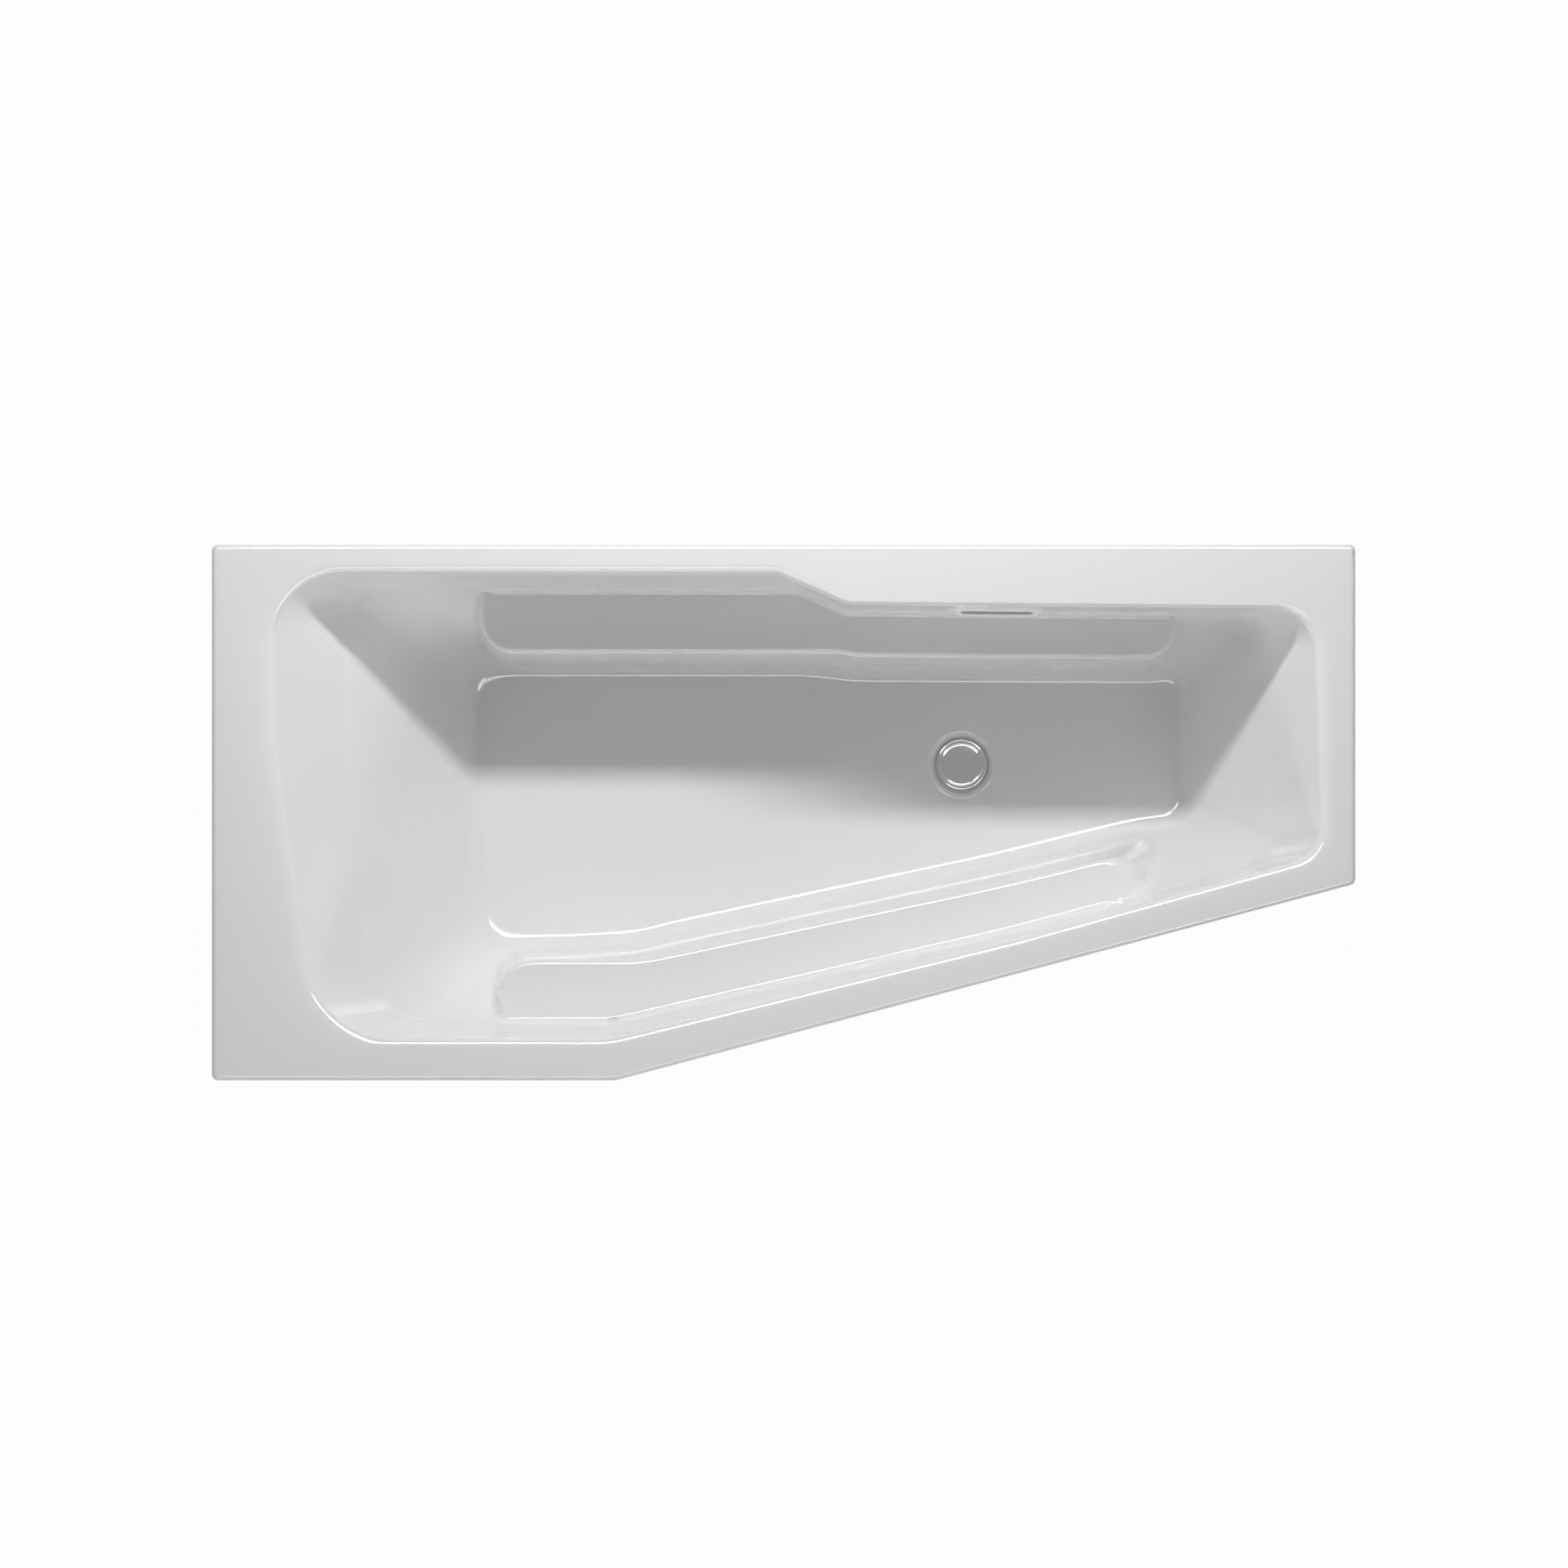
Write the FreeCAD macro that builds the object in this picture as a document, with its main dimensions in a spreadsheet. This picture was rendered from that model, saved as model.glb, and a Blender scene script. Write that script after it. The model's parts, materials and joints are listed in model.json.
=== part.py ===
import FreeCAD, Part
import math
import operator
import os

import Sketcher

# A moulded acrylic bathtub with a slanted front, in millimetres. The foot end is narrower than the head
# end, so the tub fits a small room. X runs from the head end to the foot end, Y towards the wall at the
# back, and Z up from the floor under the adjustable feet.

DOC = FreeCAD.newDocument("Bathtub")
SHEET = DOC.addObject("Spreadsheet::Sheet", "Sizes")

SIZES = {
    # The whole tub, and the sheet that it is moulded from
    "bath_length": 1600,
    "bath_width": 750,
    "foot_end_width": 475,
    "head_straight": 565,
    "floor_height": 140,
    "inside_depth": 430,
    "shell_wall": 5,
    "lip_height": 40,
    "lip_corner": 9,
    "lip_round": 6.5,
    # The flat top of the rim, from the outer edge to where it starts to roll in
    "rim_back_left": 25,
    "rim_back_jog": 75,
    "rim_back_foot": 81,
    "rim_foot_back": 38,
    "rim_foot_front": 23,
    "rim_slant_foot": 28,
    "rim_slant_middle": 23,
    "rim_slant_head": 34,
    "rim_front": 34,
    "rim_head_front": 40,
    "rim_head_back": 35,
    # The roll of the rim into the wall, measured across
    "roll_back": 16,
    "roll_deck": 9,
    "roll_foot": 18,
    "roll_front": 24,
    "roll_head_front": 110,
    "roll_head_back": 55,
    "roll_drop": 14,
    "roll_drop_head": 28,
    # The foot of the upper wall, at the level of the side ledges
    "ledge_depth": 200,
    "ledge_back_left": 66,
    "ledge_back_jog": 96,
    "ledge_back_foot": 103,
    "ledge_foot_back": 142,
    "ledge_foot_front": 128,
    "ledge_slant_foot": 62,
    "ledge_slant_middle": 62,
    "ledge_slant_head": 83,
    "ledge_front": 84,
    "ledge_head_front": 253,
    "ledge_head_back": 210,
    # The foot of the lower wall, at the bathing floor
    "floor_back_left": 164,
    "floor_back_jog": 175,
    "floor_back_foot": 176,
    "floor_foot_back": 237,
    "floor_foot_front": 227,
    "floor_slant_foot": 150,
    "floor_slant_middle": 146,
    "floor_slant_head": 170,
    "floor_front": 184,
    "floor_head_front": 389,
    "floor_head_back": 360,
    "heel_side": 18,
    "heel_end": 12,
    "heel_rise": 20,
    # Where the back wall jogs inwards for the wide deck, measured from the foot end, and where the head
    # wall bends, measured from the back
    "jog_start": 811,
    "jog_end": 711,
    "jog_start_ledge": 778,
    "jog_end_ledge": 715,
    "jog_start_floor": 723,
    "jog_end_floor": 697,
    "head_bend": 256,
    "slant_middle": 470,
    # Corner radii of the basin, at the rim, the ledges and the floor
    "corner_head_back": 118,
    "corner_jog_start": 28,
    "corner_jog_end": 60,
    "corner_foot_back": 66,
    "corner_foot_front": 55,
    "corner_head_front": 130,
    "corner_ledge": 32,
    "corner_ledge_front": 60,
    "corner_floor_head": 62,
    "corner_floor_foot": 28,
    "bow_slant": 2500,
    "bow_bend": 160,
    "bow_head": 300,
    # The raised side ledges that the arms rest on: their inner edge on top, and at the floor
    "rest_back_left": 152,
    "rest_back_jog": 157,
    "rest_back_foot": 162,
    "rest_front": 168,
    "rest_slant_head": 157,
    "rest_slant_middle": 127,
    "rest_slant_foot": 116,
    "rest_back_head_end": 378,
    "rest_back_foot_end": 251,
    "rest_front_head_end": 404,
    "rest_front_foot_end": 307,
    "rest_run_back": 16,
    "rest_run_front": 20,
    "rest_run_slant": 30,
    "rest_run_end": 14,
    "rest_corner": 45,
    "rest_round": 7,
    # The waste: its place, its moulded seat and its hole
    "waste_from_foot": 551,
    "waste_off_middle": 15.7,
    "seat_radius": 44,
    "seat_floor_radius": 37,
    "seat_depth": 8,
    "waste_hole_radius": 26,
    # The overflow slot in the back wall, with the swelling around it
    "slot_length": 101,
    "slot_height": 11,
    "slot_drop": 78,
    "slot_from_foot": 502,
    "swell_length": 102,
    "swell_side": 23,
    "swell_out": 9,
    "swell_top_drop": 55,
    "swell_full_drop": 95,
    "boss_length": 168,
    "boss_height": 60,
    "boss_face": 79,
    # Timber under the floor and under the rim, bonded to the shell
    "board_thickness": 16,
    "board_margin": 34,
    "board_hole_radius": 58,
    "batten_height": 20,
    "batten_front": 20,
    "batten_head": 20,
    "batten_back": 13,
    "batten_foot": 11,
    "batten_slant": 11,
    "batten_gap": 1,
    "batten_end_gap": 60,
    # The steel cross rails under the board
    "rail_width": 40,
    "rail_height": 26,
    "rail_wall": 2,
    "rail_end": 25,
    "head_rail_from_head": 500,
    "foot_rail_from_foot": 360,
    "head_rail_back_foot": 150,
    "head_rail_front_foot": 160,
    "foot_rail_back_foot": 160,
    "foot_rail_front_foot": 121,
    "screw_radius": 2.5,
    "screw_length": 15,
    "screw_head_radius": 4.5,
    "screw_head_height": 3,
    "screw_play": 0.25,
    "screw_pilot_play": 0.05,
    "screw_inset": 90,
    "screw_spread": 20,
    # An adjustable foot: its threaded rod, its nuts and its pad
    "rod_radius": 6,
    "rod_play": 0.05,
    "rod_above_nut": 25,
    "rod_hex_flats": 15,
    "rod_hex_height": 7,
    "rod_hex_gap": 2,
    "rod_chamfer": 1,
    "nut_flats": 19,
    "nut_height": 10,
    "rod_hole_play": 0.6,
    "pad_radius": 28,
    "pad_edge": 6,
    "pad_collar_radius": 12,
    "pad_height": 18,
    "pad_base": 6,
    "pad_chamfer": 2,
    # The chrome flange in the seat, and its seals
    "flange_radius": 35.5,
    "flange_height": 3.2,
    "flange_bevel": 1.6,
    "flange_throat": 24.5,
    "flange_bore": 21,
    "flange_land": 28,
    "flange_dish": 1.6,
    "throat_length": 30,
    "spoke_width": 5,
    "spoke_height": 5,
    "hub_radius": 8,
    "seal_thickness": 1.5,
    "under_seal_thickness": 3,
    "seal_inner_radius": 26.5,
    # The push plug
    "cap_radius": 30,
    "cap_edge": 2.2,
    "cap_crown": 3.4,
    "cap_over_flange": 0.6,
    "plug_seal_inner": 20.3,
    "plug_seal_outer": 26,
    "plug_seal_play": 0.35,
    "stem_radius": 4,
    "stem_play": 0.05,
    "stem_in_guide": 16,
    "guide_radius": 8,
    "guide_length": 24,
    "guide_floor": 3,
    "spring_coil_radius": 3,
    "spring_wire_radius": 0.45,
    "spring_turns": 5,
    "spring_play": 0.3,
    # The waste housing under the floor, and the trap
    "housing_collar_radius": 42,
    "housing_collar": 5,
    "housing_radius": 33,
    "housing_wall": 3,
    "housing_height": 33,
    "neck_length": 8,
    "neck_play": 0.05,
    "tail_radius": 20,
    "tail_wall": 3,
    "tail_length": 71,
    "inlet_radius": 12,
    "inlet_wall": 2,
    "inlet_reach": 60,
    "inlet_drop": 20.5,
    "cup_radius": 42,
    "cup_wall": 3,
    "cup_under_tail": 10,
    "cup_height": 74,
    "cup_neck": 11,
    "cup_play": 0.3,
    "outlet_height": 40,
    "outlet_reach": 66,
    "outlet_pipe_free": 47,
    "outlet_pipe_in_socket": 22,
    "outlet_pipe_step": 0.3,
    "outlet_pipe_gap": 1,
    "socket_play": 0.05,
    "union_play": 0.05,
    "union_flats": 62,
    "union_height": 14,
    "union_lip": 4,
    # The overflow behind the back wall
    "overflow_seal": 3,
    "overflow_length": 136,
    "overflow_height": 44,
    "overflow_depth": 34,
    "overflow_wall": 3,
    "overflow_flange_length": 164,
    "overflow_flange": 4,
    "overflow_screw_inset": 7,
    "overflow_screw_radius": 2,
    "overflow_screw_head": 4,
    "overflow_screw_head_height": 2.5,
    "overflow_screw_bite": 4.5,
    "overflow_screw_play": 0.25,
    "spout_length": 22,
    "pipe_bend": 45,
    "sleeve_radius": 15,
    "sleeve_length": 24,
    # Cuts run this far past what they cut
    "overrun": 2,
}

OPERATIONS = {"+": operator.add, "-": operator.sub, "*": operator.mul, "/": operator.truediv}


class Size:
    """A length that keeps its number and the sheet formula that it comes from."""

    def __init__(self, number, formula):
        self.number = float(number)
        self.formula = formula

    def __float__(self):
        return self.number

    def __add__(self, other):
        return combined(self, "+", other)

    def __radd__(self, other):
        return combined(other, "+", self)

    def __sub__(self, other):
        return combined(self, "-", other)

    def __rsub__(self, other):
        return combined(other, "-", self)

    def __mul__(self, other):
        return combined(self, "*", other)

    def __truediv__(self, other):
        return combined(self, "/", other)

    def __neg__(self):
        return combined(0, "-", self)


def formula_of(value):
    """The sheet formula of a size, or a plain count as it is."""
    return value.formula if isinstance(value, Size) else str(value)


def combined(left, sign, right):
    """The size that two sizes make together."""
    number = OPERATIONS[sign](float(left), float(right))
    return Size(number, f"({formula_of(left)} {sign} {formula_of(right)})")


def fill_sheet():
    """Put each driving size in the sheet as a plain number with its name as alias."""
    for row, (name, number) in enumerate(SIZES.items(), start=1):
        SHEET.set(f"A{row}", name)
        SHEET.set(f"B{row}", str(number))
        SHEET.setAlias(f"B{row}", name)
    DOC.recompute()


fill_sheet()


class SheetSizes:
    """Every named size of the sheet, by its name."""

    def __getattr__(self, name):
        return Size(SHEET.get(name), f"Sizes.{name}")


s = SheetSizes()

# Levels, from the rim down to the floor of the room
RIM_TOP = s.floor_height + s.inside_depth
FLOOR_TOP = RIM_TOP - s.inside_depth
FLOOR_UNDER = FLOOR_TOP - s.shell_wall
LEDGE_TOP = RIM_TOP - s.ledge_depth
BOARD_UNDER = FLOOR_UNDER - s.board_thickness
RAIL_WEB_UNDER = BOARD_UNDER - s.rail_wall
SEAT_FLOOR = FLOOR_TOP - s.seat_depth
SEAT_UNDER = SEAT_FLOOR - s.shell_wall
WASTE_X = s.bath_length / 2 - s.waste_from_foot
SLANT = (s.bath_width - s.foot_end_width) / (s.bath_length - s.head_straight)


def slant_edge(from_foot):
    """The place across the tub of its slanted edge, at a distance from the foot end."""
    return s.bath_width / 2 - s.foot_end_width - SLANT * from_foot


WASTE_Y = (s.bath_width / 2 - s.floor_back_foot + slant_edge(s.waste_from_foot) + s.floor_slant_foot) / 2
WASTE_Y = WASTE_Y + s.waste_off_middle


def bind(obj, path, value):
    """Tie one property to the sheet, or set it where the value is a plain zero or count."""
    if isinstance(value, Size):
        obj.setExpression(path, value.formula)


def place(obj, x=0, y=0, z=0):
    """Move a sub-part to its place, worked out from the sheet."""
    for axis, value in (("x", x), ("y", y), ("z", z)):
        bind(obj, f"Placement.Base.{axis}", value)
    return obj


def new_body(label):
    """An empty PartDesign body with its own label."""
    body = DOC.addObject("PartDesign::Body", label)
    body.Label = label
    return body


def new_sketch(body, role, name):
    """An empty sketch on one of the body's origin planes."""
    sketch = body.newObject("Sketcher::SketchObject", name)
    planes = [item for item in body.Origin.OriginFeatures if getattr(item, "Role", "") == role]
    sketch.AttachmentSupport = (planes[0], "")
    sketch.MapMode = "FlatFace"
    return sketch


def fix_point(sketch, geometry, end, across, up):
    """Fix a point of the sketch to its two sizes."""
    for kind, value, axis in (("DistanceX", across, -2), ("DistanceY", up, -1)):
        if isinstance(value, Size):
            index = sketch.addConstraint(Sketcher.Constraint(kind, -1, 1, geometry, end, float(value)))
            sketch.setExpression(f"Constraints[{index}]", value.formula)
        else:
            sketch.addConstraint(Sketcher.Constraint("PointOnObject", geometry, end, axis))


def draw_outline(sketch, corners):
    """A closed outline of straight lines through corners given as (across, up)."""
    spots = [FreeCAD.Vector(float(across), float(up), 0) for across, up in corners]
    first = sketch.GeometryCount
    for index, spot in enumerate(spots):
        following = spots[(index + 1) % len(spots)]
        sketch.addGeometry(Part.LineSegment(spot, following), False)
    for index, (across, up) in enumerate(corners):
        line = first + index
        following = first + (index + 1) % len(corners)
        sketch.addConstraint(Sketcher.Constraint("Coincident", line, 2, following, 1))
        fix_point(sketch, line, 1, across, up)


def draw_rectangle(sketch, length, width):
    """A rectangle about the origin."""
    half_length, half_width = length / 2, width / 2
    draw_outline(sketch, [(-half_length, -half_width), (half_length, -half_width),
                          (half_length, half_width), (-half_length, half_width)])


def draw_circle(sketch, radius, across=0, up=0):
    """A circle with a bound radius and centre."""
    centre = FreeCAD.Vector(float(across), float(up), 0)
    circle = sketch.addGeometry(Part.Circle(centre, FreeCAD.Vector(0, 0, 1), float(radius)), False)
    index = sketch.addConstraint(Sketcher.Constraint("Radius", circle, float(radius)))
    sketch.setExpression(f"Constraints[{index}]", radius.formula)
    fix_point(sketch, circle, 3, across, up)


def draw_hexagon(sketch, flats):
    """A regular hexagon about the origin, from its width across the flats."""
    side = flats / 3 ** 0.5
    half = flats / 2
    draw_outline(sketch, [(half, side / 2), (0, side), (-half, side / 2),
                          (-half, -side / 2), (0, -side), (half, -side / 2)])


def spin(body, profile, kind="PartDesign::Revolution"):
    """Turn a closed profile of (radius, height) corners about the body's Z axis."""
    number = len(body.Group)
    sketch = new_sketch(body, "XZ_Plane", f"{body.Label}_profile_{number}")
    draw_outline(sketch, profile)
    turn = body.newObject(kind, f"{body.Label}_turn_{number}")
    turn.Profile = sketch
    turn.ReferenceAxis = (sketch, ["V_Axis"])
    turn.Angle = 360
    return turn


def turned(label, profile, x=0, y=0, z=0):
    """A round piece, turned from one profile."""
    body = new_body(label)
    spin(body, profile)
    return place(body, x, y, z)


def raised(body, draw, length, role="XY_Plane", offset=0, away=False, cut=False):
    """Pad or pocket what a function draws on an origin plane, from a bound offset."""
    number = len(body.Group)
    sketch = new_sketch(body, role, f"{body.Label}_sketch_{number}")
    draw(sketch)
    bind(sketch, "AttachmentOffset.Base.z", offset)
    kind = "PartDesign::Pocket" if cut else "PartDesign::Pad"
    feature = body.newObject(kind, f"{body.Label}_feature_{number}")
    feature.Profile = sketch
    feature.Reversed = away
    bind(feature, "Length", length)
    return feature


def block(label, length, width, height):
    """A rectangular block bound to the sheet, with its label."""
    box = DOC.addObject("Part::Box", label)
    box.Label = label
    for name, value in (("Length", length), ("Width", width), ("Height", height)):
        bind(box, name, value)
    return box


# Outlines of the basin. Every outline runs the same way round, as nine straight edges whose places are
# measured inwards from the tub's outer edge, with an arc in each corner.

EDGES = ["back_left", "jog", "back_right", "foot", "slant_foot", "slant_head", "front", "head_front", "head_back"]


def plain(name):
    """The number of one named size."""
    return float(SHEET.get(name))


def outer_corners():
    """The tub's outer corners seen from above, with the slanted edge split at its middle."""
    half_length, half_width = plain("bath_length") / 2, plain("bath_width") / 2
    foot_front = half_width - plain("foot_end_width")
    bend = plain("head_straight") - half_length
    share = plain("slant_middle") / (half_length - bend)
    return {
        "head_back": FreeCAD.Vector(-half_length, half_width, 0),
        "foot_back": FreeCAD.Vector(half_length, half_width, 0),
        "foot_front": FreeCAD.Vector(half_length, foot_front, 0),
        "slant_middle": FreeCAD.Vector(half_length - plain("slant_middle"),
                                       foot_front - (half_width + foot_front) * share, 0),
        "bend": FreeCAD.Vector(bend, -half_width, 0),
        "head_front": FreeCAD.Vector(-half_length, -half_width, 0),
        "head_middle": FreeCAD.Vector(-half_length, half_width - plain("head_bend"), 0),
    }


OUTER = outer_corners()


def inside(start, end, inset_start, inset_end):
    """A line inside an outer edge, at its own distance from the edge at each end."""
    along = (end - start).normalize()
    inward = FreeCAD.Vector(along.y, -along.x, 0)
    return start + inward * inset_start, end + inward * inset_end


def edge_lines(inset, jog):
    """The nine edge lines of one outline, from its insets and the two ends of its jog."""
    back_jog = FreeCAD.Vector(jog[1], OUTER["head_back"].y, 0)
    jog_start = FreeCAD.Vector(jog[0], OUTER["head_back"].y - inset["back_left"], 0)
    jog_end = FreeCAD.Vector(jog[1], OUTER["head_back"].y - inset["back_jog"], 0)
    return [
        inside(OUTER["head_back"], back_jog, inset["back_left"], inset["back_left"]),
        (jog_start, jog_end),
        inside(back_jog, OUTER["foot_back"], inset["back_jog"], inset["back_foot"]),
        inside(OUTER["foot_back"], OUTER["foot_front"], inset["foot_back"], inset["foot_front"]),
        inside(OUTER["foot_front"], OUTER["slant_middle"], inset["slant_foot"], inset["slant_middle"]),
        inside(OUTER["slant_middle"], OUTER["bend"], inset["slant_middle"], inset["slant_head"]),
        inside(OUTER["bend"], OUTER["head_front"], inset["front"], inset["front"]),
        inside(OUTER["head_front"], OUTER["head_middle"], inset["head_front"], inset["head_back"]),
        inside(OUTER["head_middle"], OUTER["head_back"], inset["head_back"], inset["head_back"]),
    ]


def crossing(first, second):
    """The point where two lines, each given by two points, meet in the plan."""
    along, across = first[1] - first[0], second[1] - second[0]
    gap = second[0] - first[0]
    share = (gap.x * across.y - gap.y * across.x) / (along.x * across.y - along.y * across.x)
    return first[0] + along * share


def corners_between(lines):
    """The corner at the start of each line, where the line before it ends."""
    return [crossing(lines[index - 1], lines[index]) for index in range(len(lines))]


def grown(corners, distance):
    """An outline moved outwards by a distance, given as (point, radius) pairs clockwise from above."""
    points = [point for point, radius in corners]
    count = len(points)
    lines = []
    for index in range(count):
        start, end = points[index], points[(index + 1) % count]
        lines.append(inside(start, end, -distance, -distance))
    moved = corners_between(lines)
    result = []
    for index, (point, radius) in enumerate(corners):
        before, after = point - points[index - 1], points[(index + 1) % count] - point
        turns_in = before.x * after.y - before.y * after.x < 0
        result.append((moved[index], radius + distance if turns_in else radius - distance))
    return result


def rounded_wire(corners, level):
    """A closed wire at one level, with an arc in each corner of the outline."""
    count = len(corners)
    starts, middles, ends = [], [], []
    for index, (point, radius) in enumerate(corners):
        before = (corners[index - 1][0] - point).normalize()
        after = (corners[(index + 1) % count][0] - point).normalize()
        half_angle = before.getAngle(after) / 2
        reach = radius / math.tan(half_angle)
        centre = point + (before + after).normalize() * (radius / math.sin(half_angle))
        starts.append(point + before * reach)
        ends.append(point + after * reach)
        middles.append(centre + (point - centre).normalize() * radius)
    lift = FreeCAD.Vector(0, 0, level)
    edges = []
    for index in range(count):
        edges.append(Part.Arc(starts[index] + lift, middles[index] + lift, ends[index] + lift).toShape())
        following = starts[(index + 1) % count]
        edges.append(Part.LineSegment(ends[index] + lift, following + lift).toShape())
    return Part.Wire(edges)


def stacked(sections):
    """A solid ruled from one (corners, level) section to the next."""
    return Part.makeLoft([rounded_wire(corners, level) for corners, level in sections], True, True)


RIM_KEYS = {
    "back_left": ("rim_back_left", "roll_back", "roll_drop", "ledge_back_left", "floor_back_left", "heel_side"),
    "back_jog": ("rim_back_jog", "roll_deck", "roll_drop", "ledge_back_jog", "floor_back_jog", "heel_side"),
    "back_foot": ("rim_back_foot", "roll_deck", "roll_drop", "ledge_back_foot", "floor_back_foot", "heel_side"),
    "foot_back": ("rim_foot_back", "roll_foot", "roll_drop", "ledge_foot_back", "floor_foot_back", "heel_end"),
    "foot_front": ("rim_foot_front", "roll_foot", "roll_drop", "ledge_foot_front", "floor_foot_front",
                   "heel_end"),
    "slant_foot": ("rim_slant_foot", "roll_front", "roll_drop", "ledge_slant_foot", "floor_slant_foot",
                   "heel_side"),
    "slant_middle": ("rim_slant_middle", "roll_front", "roll_drop", "ledge_slant_middle",
                     "floor_slant_middle", "heel_side"),
    "slant_head": ("rim_slant_head", "roll_front", "roll_drop", "ledge_slant_head", "floor_slant_head",
                   "heel_side"),
    "front": ("rim_front", "roll_front", "roll_drop", "ledge_front", "floor_front", "heel_side"),
    "head_front": ("rim_head_front", "roll_head_front", "roll_drop_head", "ledge_head_front",
                   "floor_head_front", "heel_end"),
    "head_back": ("rim_head_back", "roll_head_back", "roll_drop_head", "ledge_head_back",
                  "floor_head_back", "heel_end"),
}

RIM_CORNERS = ["corner_head_back", "corner_jog_start", "corner_jog_end", "corner_foot_back",
               "corner_foot_front", "bow_slant", "bow_bend", "corner_head_front", "bow_head"]
LEDGE_CORNERS = ["corner_ledge", "corner_jog_start", "corner_ledge", "corner_ledge", "corner_ledge_front",
                 "bow_slant", "bow_bend", "corner_ledge_front", "bow_head"]
FLOOR_CORNERS = ["corner_floor_head", "corner_floor_foot", "corner_floor_foot", "corner_floor_foot",
                 "corner_floor_foot", "bow_slant", "bow_bend", "corner_floor_head", "bow_head"]


def blend(first, second, share):
    """A value between two others."""
    return first + (second - first) * share


def heel_spread(depth):
    """How far into the rounding at the floor a depth lies, as a share of the rounding's width."""
    above = plain("inside_depth") - plain("heel_rise")
    part = min(max((depth - above) / plain("heel_rise"), 0), 1)
    return 1 - math.sqrt(1 - part ** 2)


def inset_at(keys, depth):
    """How far inside the outer edge the basin's wall stands at a depth."""
    rim, roll, drop, ledge, floor, heel = [plain(key) for key in keys]
    ledge_depth = plain("ledge_depth")
    if depth > ledge_depth:
        share = (depth - ledge_depth) / (plain("inside_depth") - ledge_depth)
        return blend(ledge, floor, share) + heel * heel_spread(depth)
    rolled = min(depth / drop, 1)
    rolling = math.sqrt(rolled * (2 - rolled))
    return rim + roll * rolling + (ledge - rim - roll) * depth / ledge_depth


def basin_outline(depth):
    """The basin's outline at a depth below the rim, as (point, radius) pairs."""
    inset = {name: inset_at(keys, depth) for name, keys in RIM_KEYS.items()}
    ledge_depth = plain("ledge_depth")
    if depth > ledge_depth:
        share = (depth - ledge_depth) / (plain("inside_depth") - ledge_depth)
        above, below, tables = "_ledge", "_floor", (LEDGE_CORNERS, FLOOR_CORNERS)
    else:
        share = depth / ledge_depth
        above, below, tables = "", "_ledge", (RIM_CORNERS, LEDGE_CORNERS)
    foot = OUTER["foot_back"].x
    jog = [foot - blend(plain(end + above), plain(end + below), share) for end in ("jog_start", "jog_end")]
    radii = [blend(plain(first), plain(second), share) for first, second in zip(*tables)]
    return list(zip(corners_between(edge_lines(inset, jog)), radii))


ROLL_SHARES = [0, 0.07, 0.28, 0.64, 1]
HEEL_SHARES = [0.5, 0.85, 1]


def basin_depths():
    """The depths of the basin's outlines: close together in its roundings."""
    drop, head_drop = plain("roll_drop"), plain("roll_drop_head")
    above = plain("inside_depth") - plain("heel_rise")
    depths = [drop * share for share in ROLL_SHARES] + [head_drop, plain("ledge_depth"), above]
    return depths + [above + plain("heel_rise") * share for share in HEEL_SHARES]


def basin(growth, lift):
    """The basin as a solid, grown outwards all round and lowered, and run up past the rim by a lift."""
    top = float(RIM_TOP) - growth
    sections = [(grown(basin_outline(0), growth), top + lift)]
    sections += [(grown(basin_outline(depth), growth), top - depth) for depth in basin_depths()]
    return stacked(sections)


ROUND_SHARES = [0, 0.15, 0.5, 1]


def rest_levels():
    """The depths of an arm ledge's outlines with the shares of its edge rounding and of its wall's fall."""
    top, rounding = plain("ledge_depth") - plain("shell_wall") / 2, plain("rest_round")
    bottom, rise = plain("inside_depth"), plain("heel_rise")
    depths = [top + rounding * share for share in ROUND_SHARES]
    depths += [bottom - rise] + [bottom - rise * (1 - share) for share in HEEL_SHARES]
    rows = []
    for depth in depths:
        rounded = min((depth - top) / rounding, 1)
        rows.append((depth, 1 - math.sqrt(rounded * (2 - rounded)), (depth - top) / (bottom - top)))
    return rows


def rest_inset(name, run, rounded, fall, depth):
    """The inner edge of an arm ledge at one level, measured in from the tub's outer edge."""
    edge = plain(name) - plain("rest_round") * rounded
    return edge + plain(run) * fall + plain("heel_side") * heel_spread(depth)


def back_rest_outline(depth, rounded, fall):
    """The ledge along the back wall, as an outline that runs out past the wall."""
    head, back, foot = OUTER["head_back"].x, OUTER["head_back"].y, OUTER["foot_back"].x
    ends = plain("rest_round") * rounded - plain("rest_run_end") * fall
    start, stop = head + plain("rest_back_head_end") + ends, foot - plain("rest_back_foot_end") - ends
    jog = [foot - plain(end) for end in ("jog_start_floor", "jog_end_floor")]
    left = rest_inset("rest_back_left", "rest_run_back", rounded, fall, depth)
    middle = rest_inset("rest_back_jog", "rest_run_back", rounded, fall, depth)
    right = rest_inset("rest_back_foot", "rest_run_back", rounded, fall, depth)
    radius = plain("rest_corner") - plain("rest_round") * rounded
    small = plain("corner_floor_foot")
    outside = plain("rim_back_left")
    spots = [(start, outside, small / 2), (stop, outside, small / 2), (stop, right, radius),
             (jog[1], middle, small), (jog[0], left, small), (start, left, radius)]
    return [(FreeCAD.Vector(x, back - inset, 0), corner) for x, inset, corner in spots]


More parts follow.
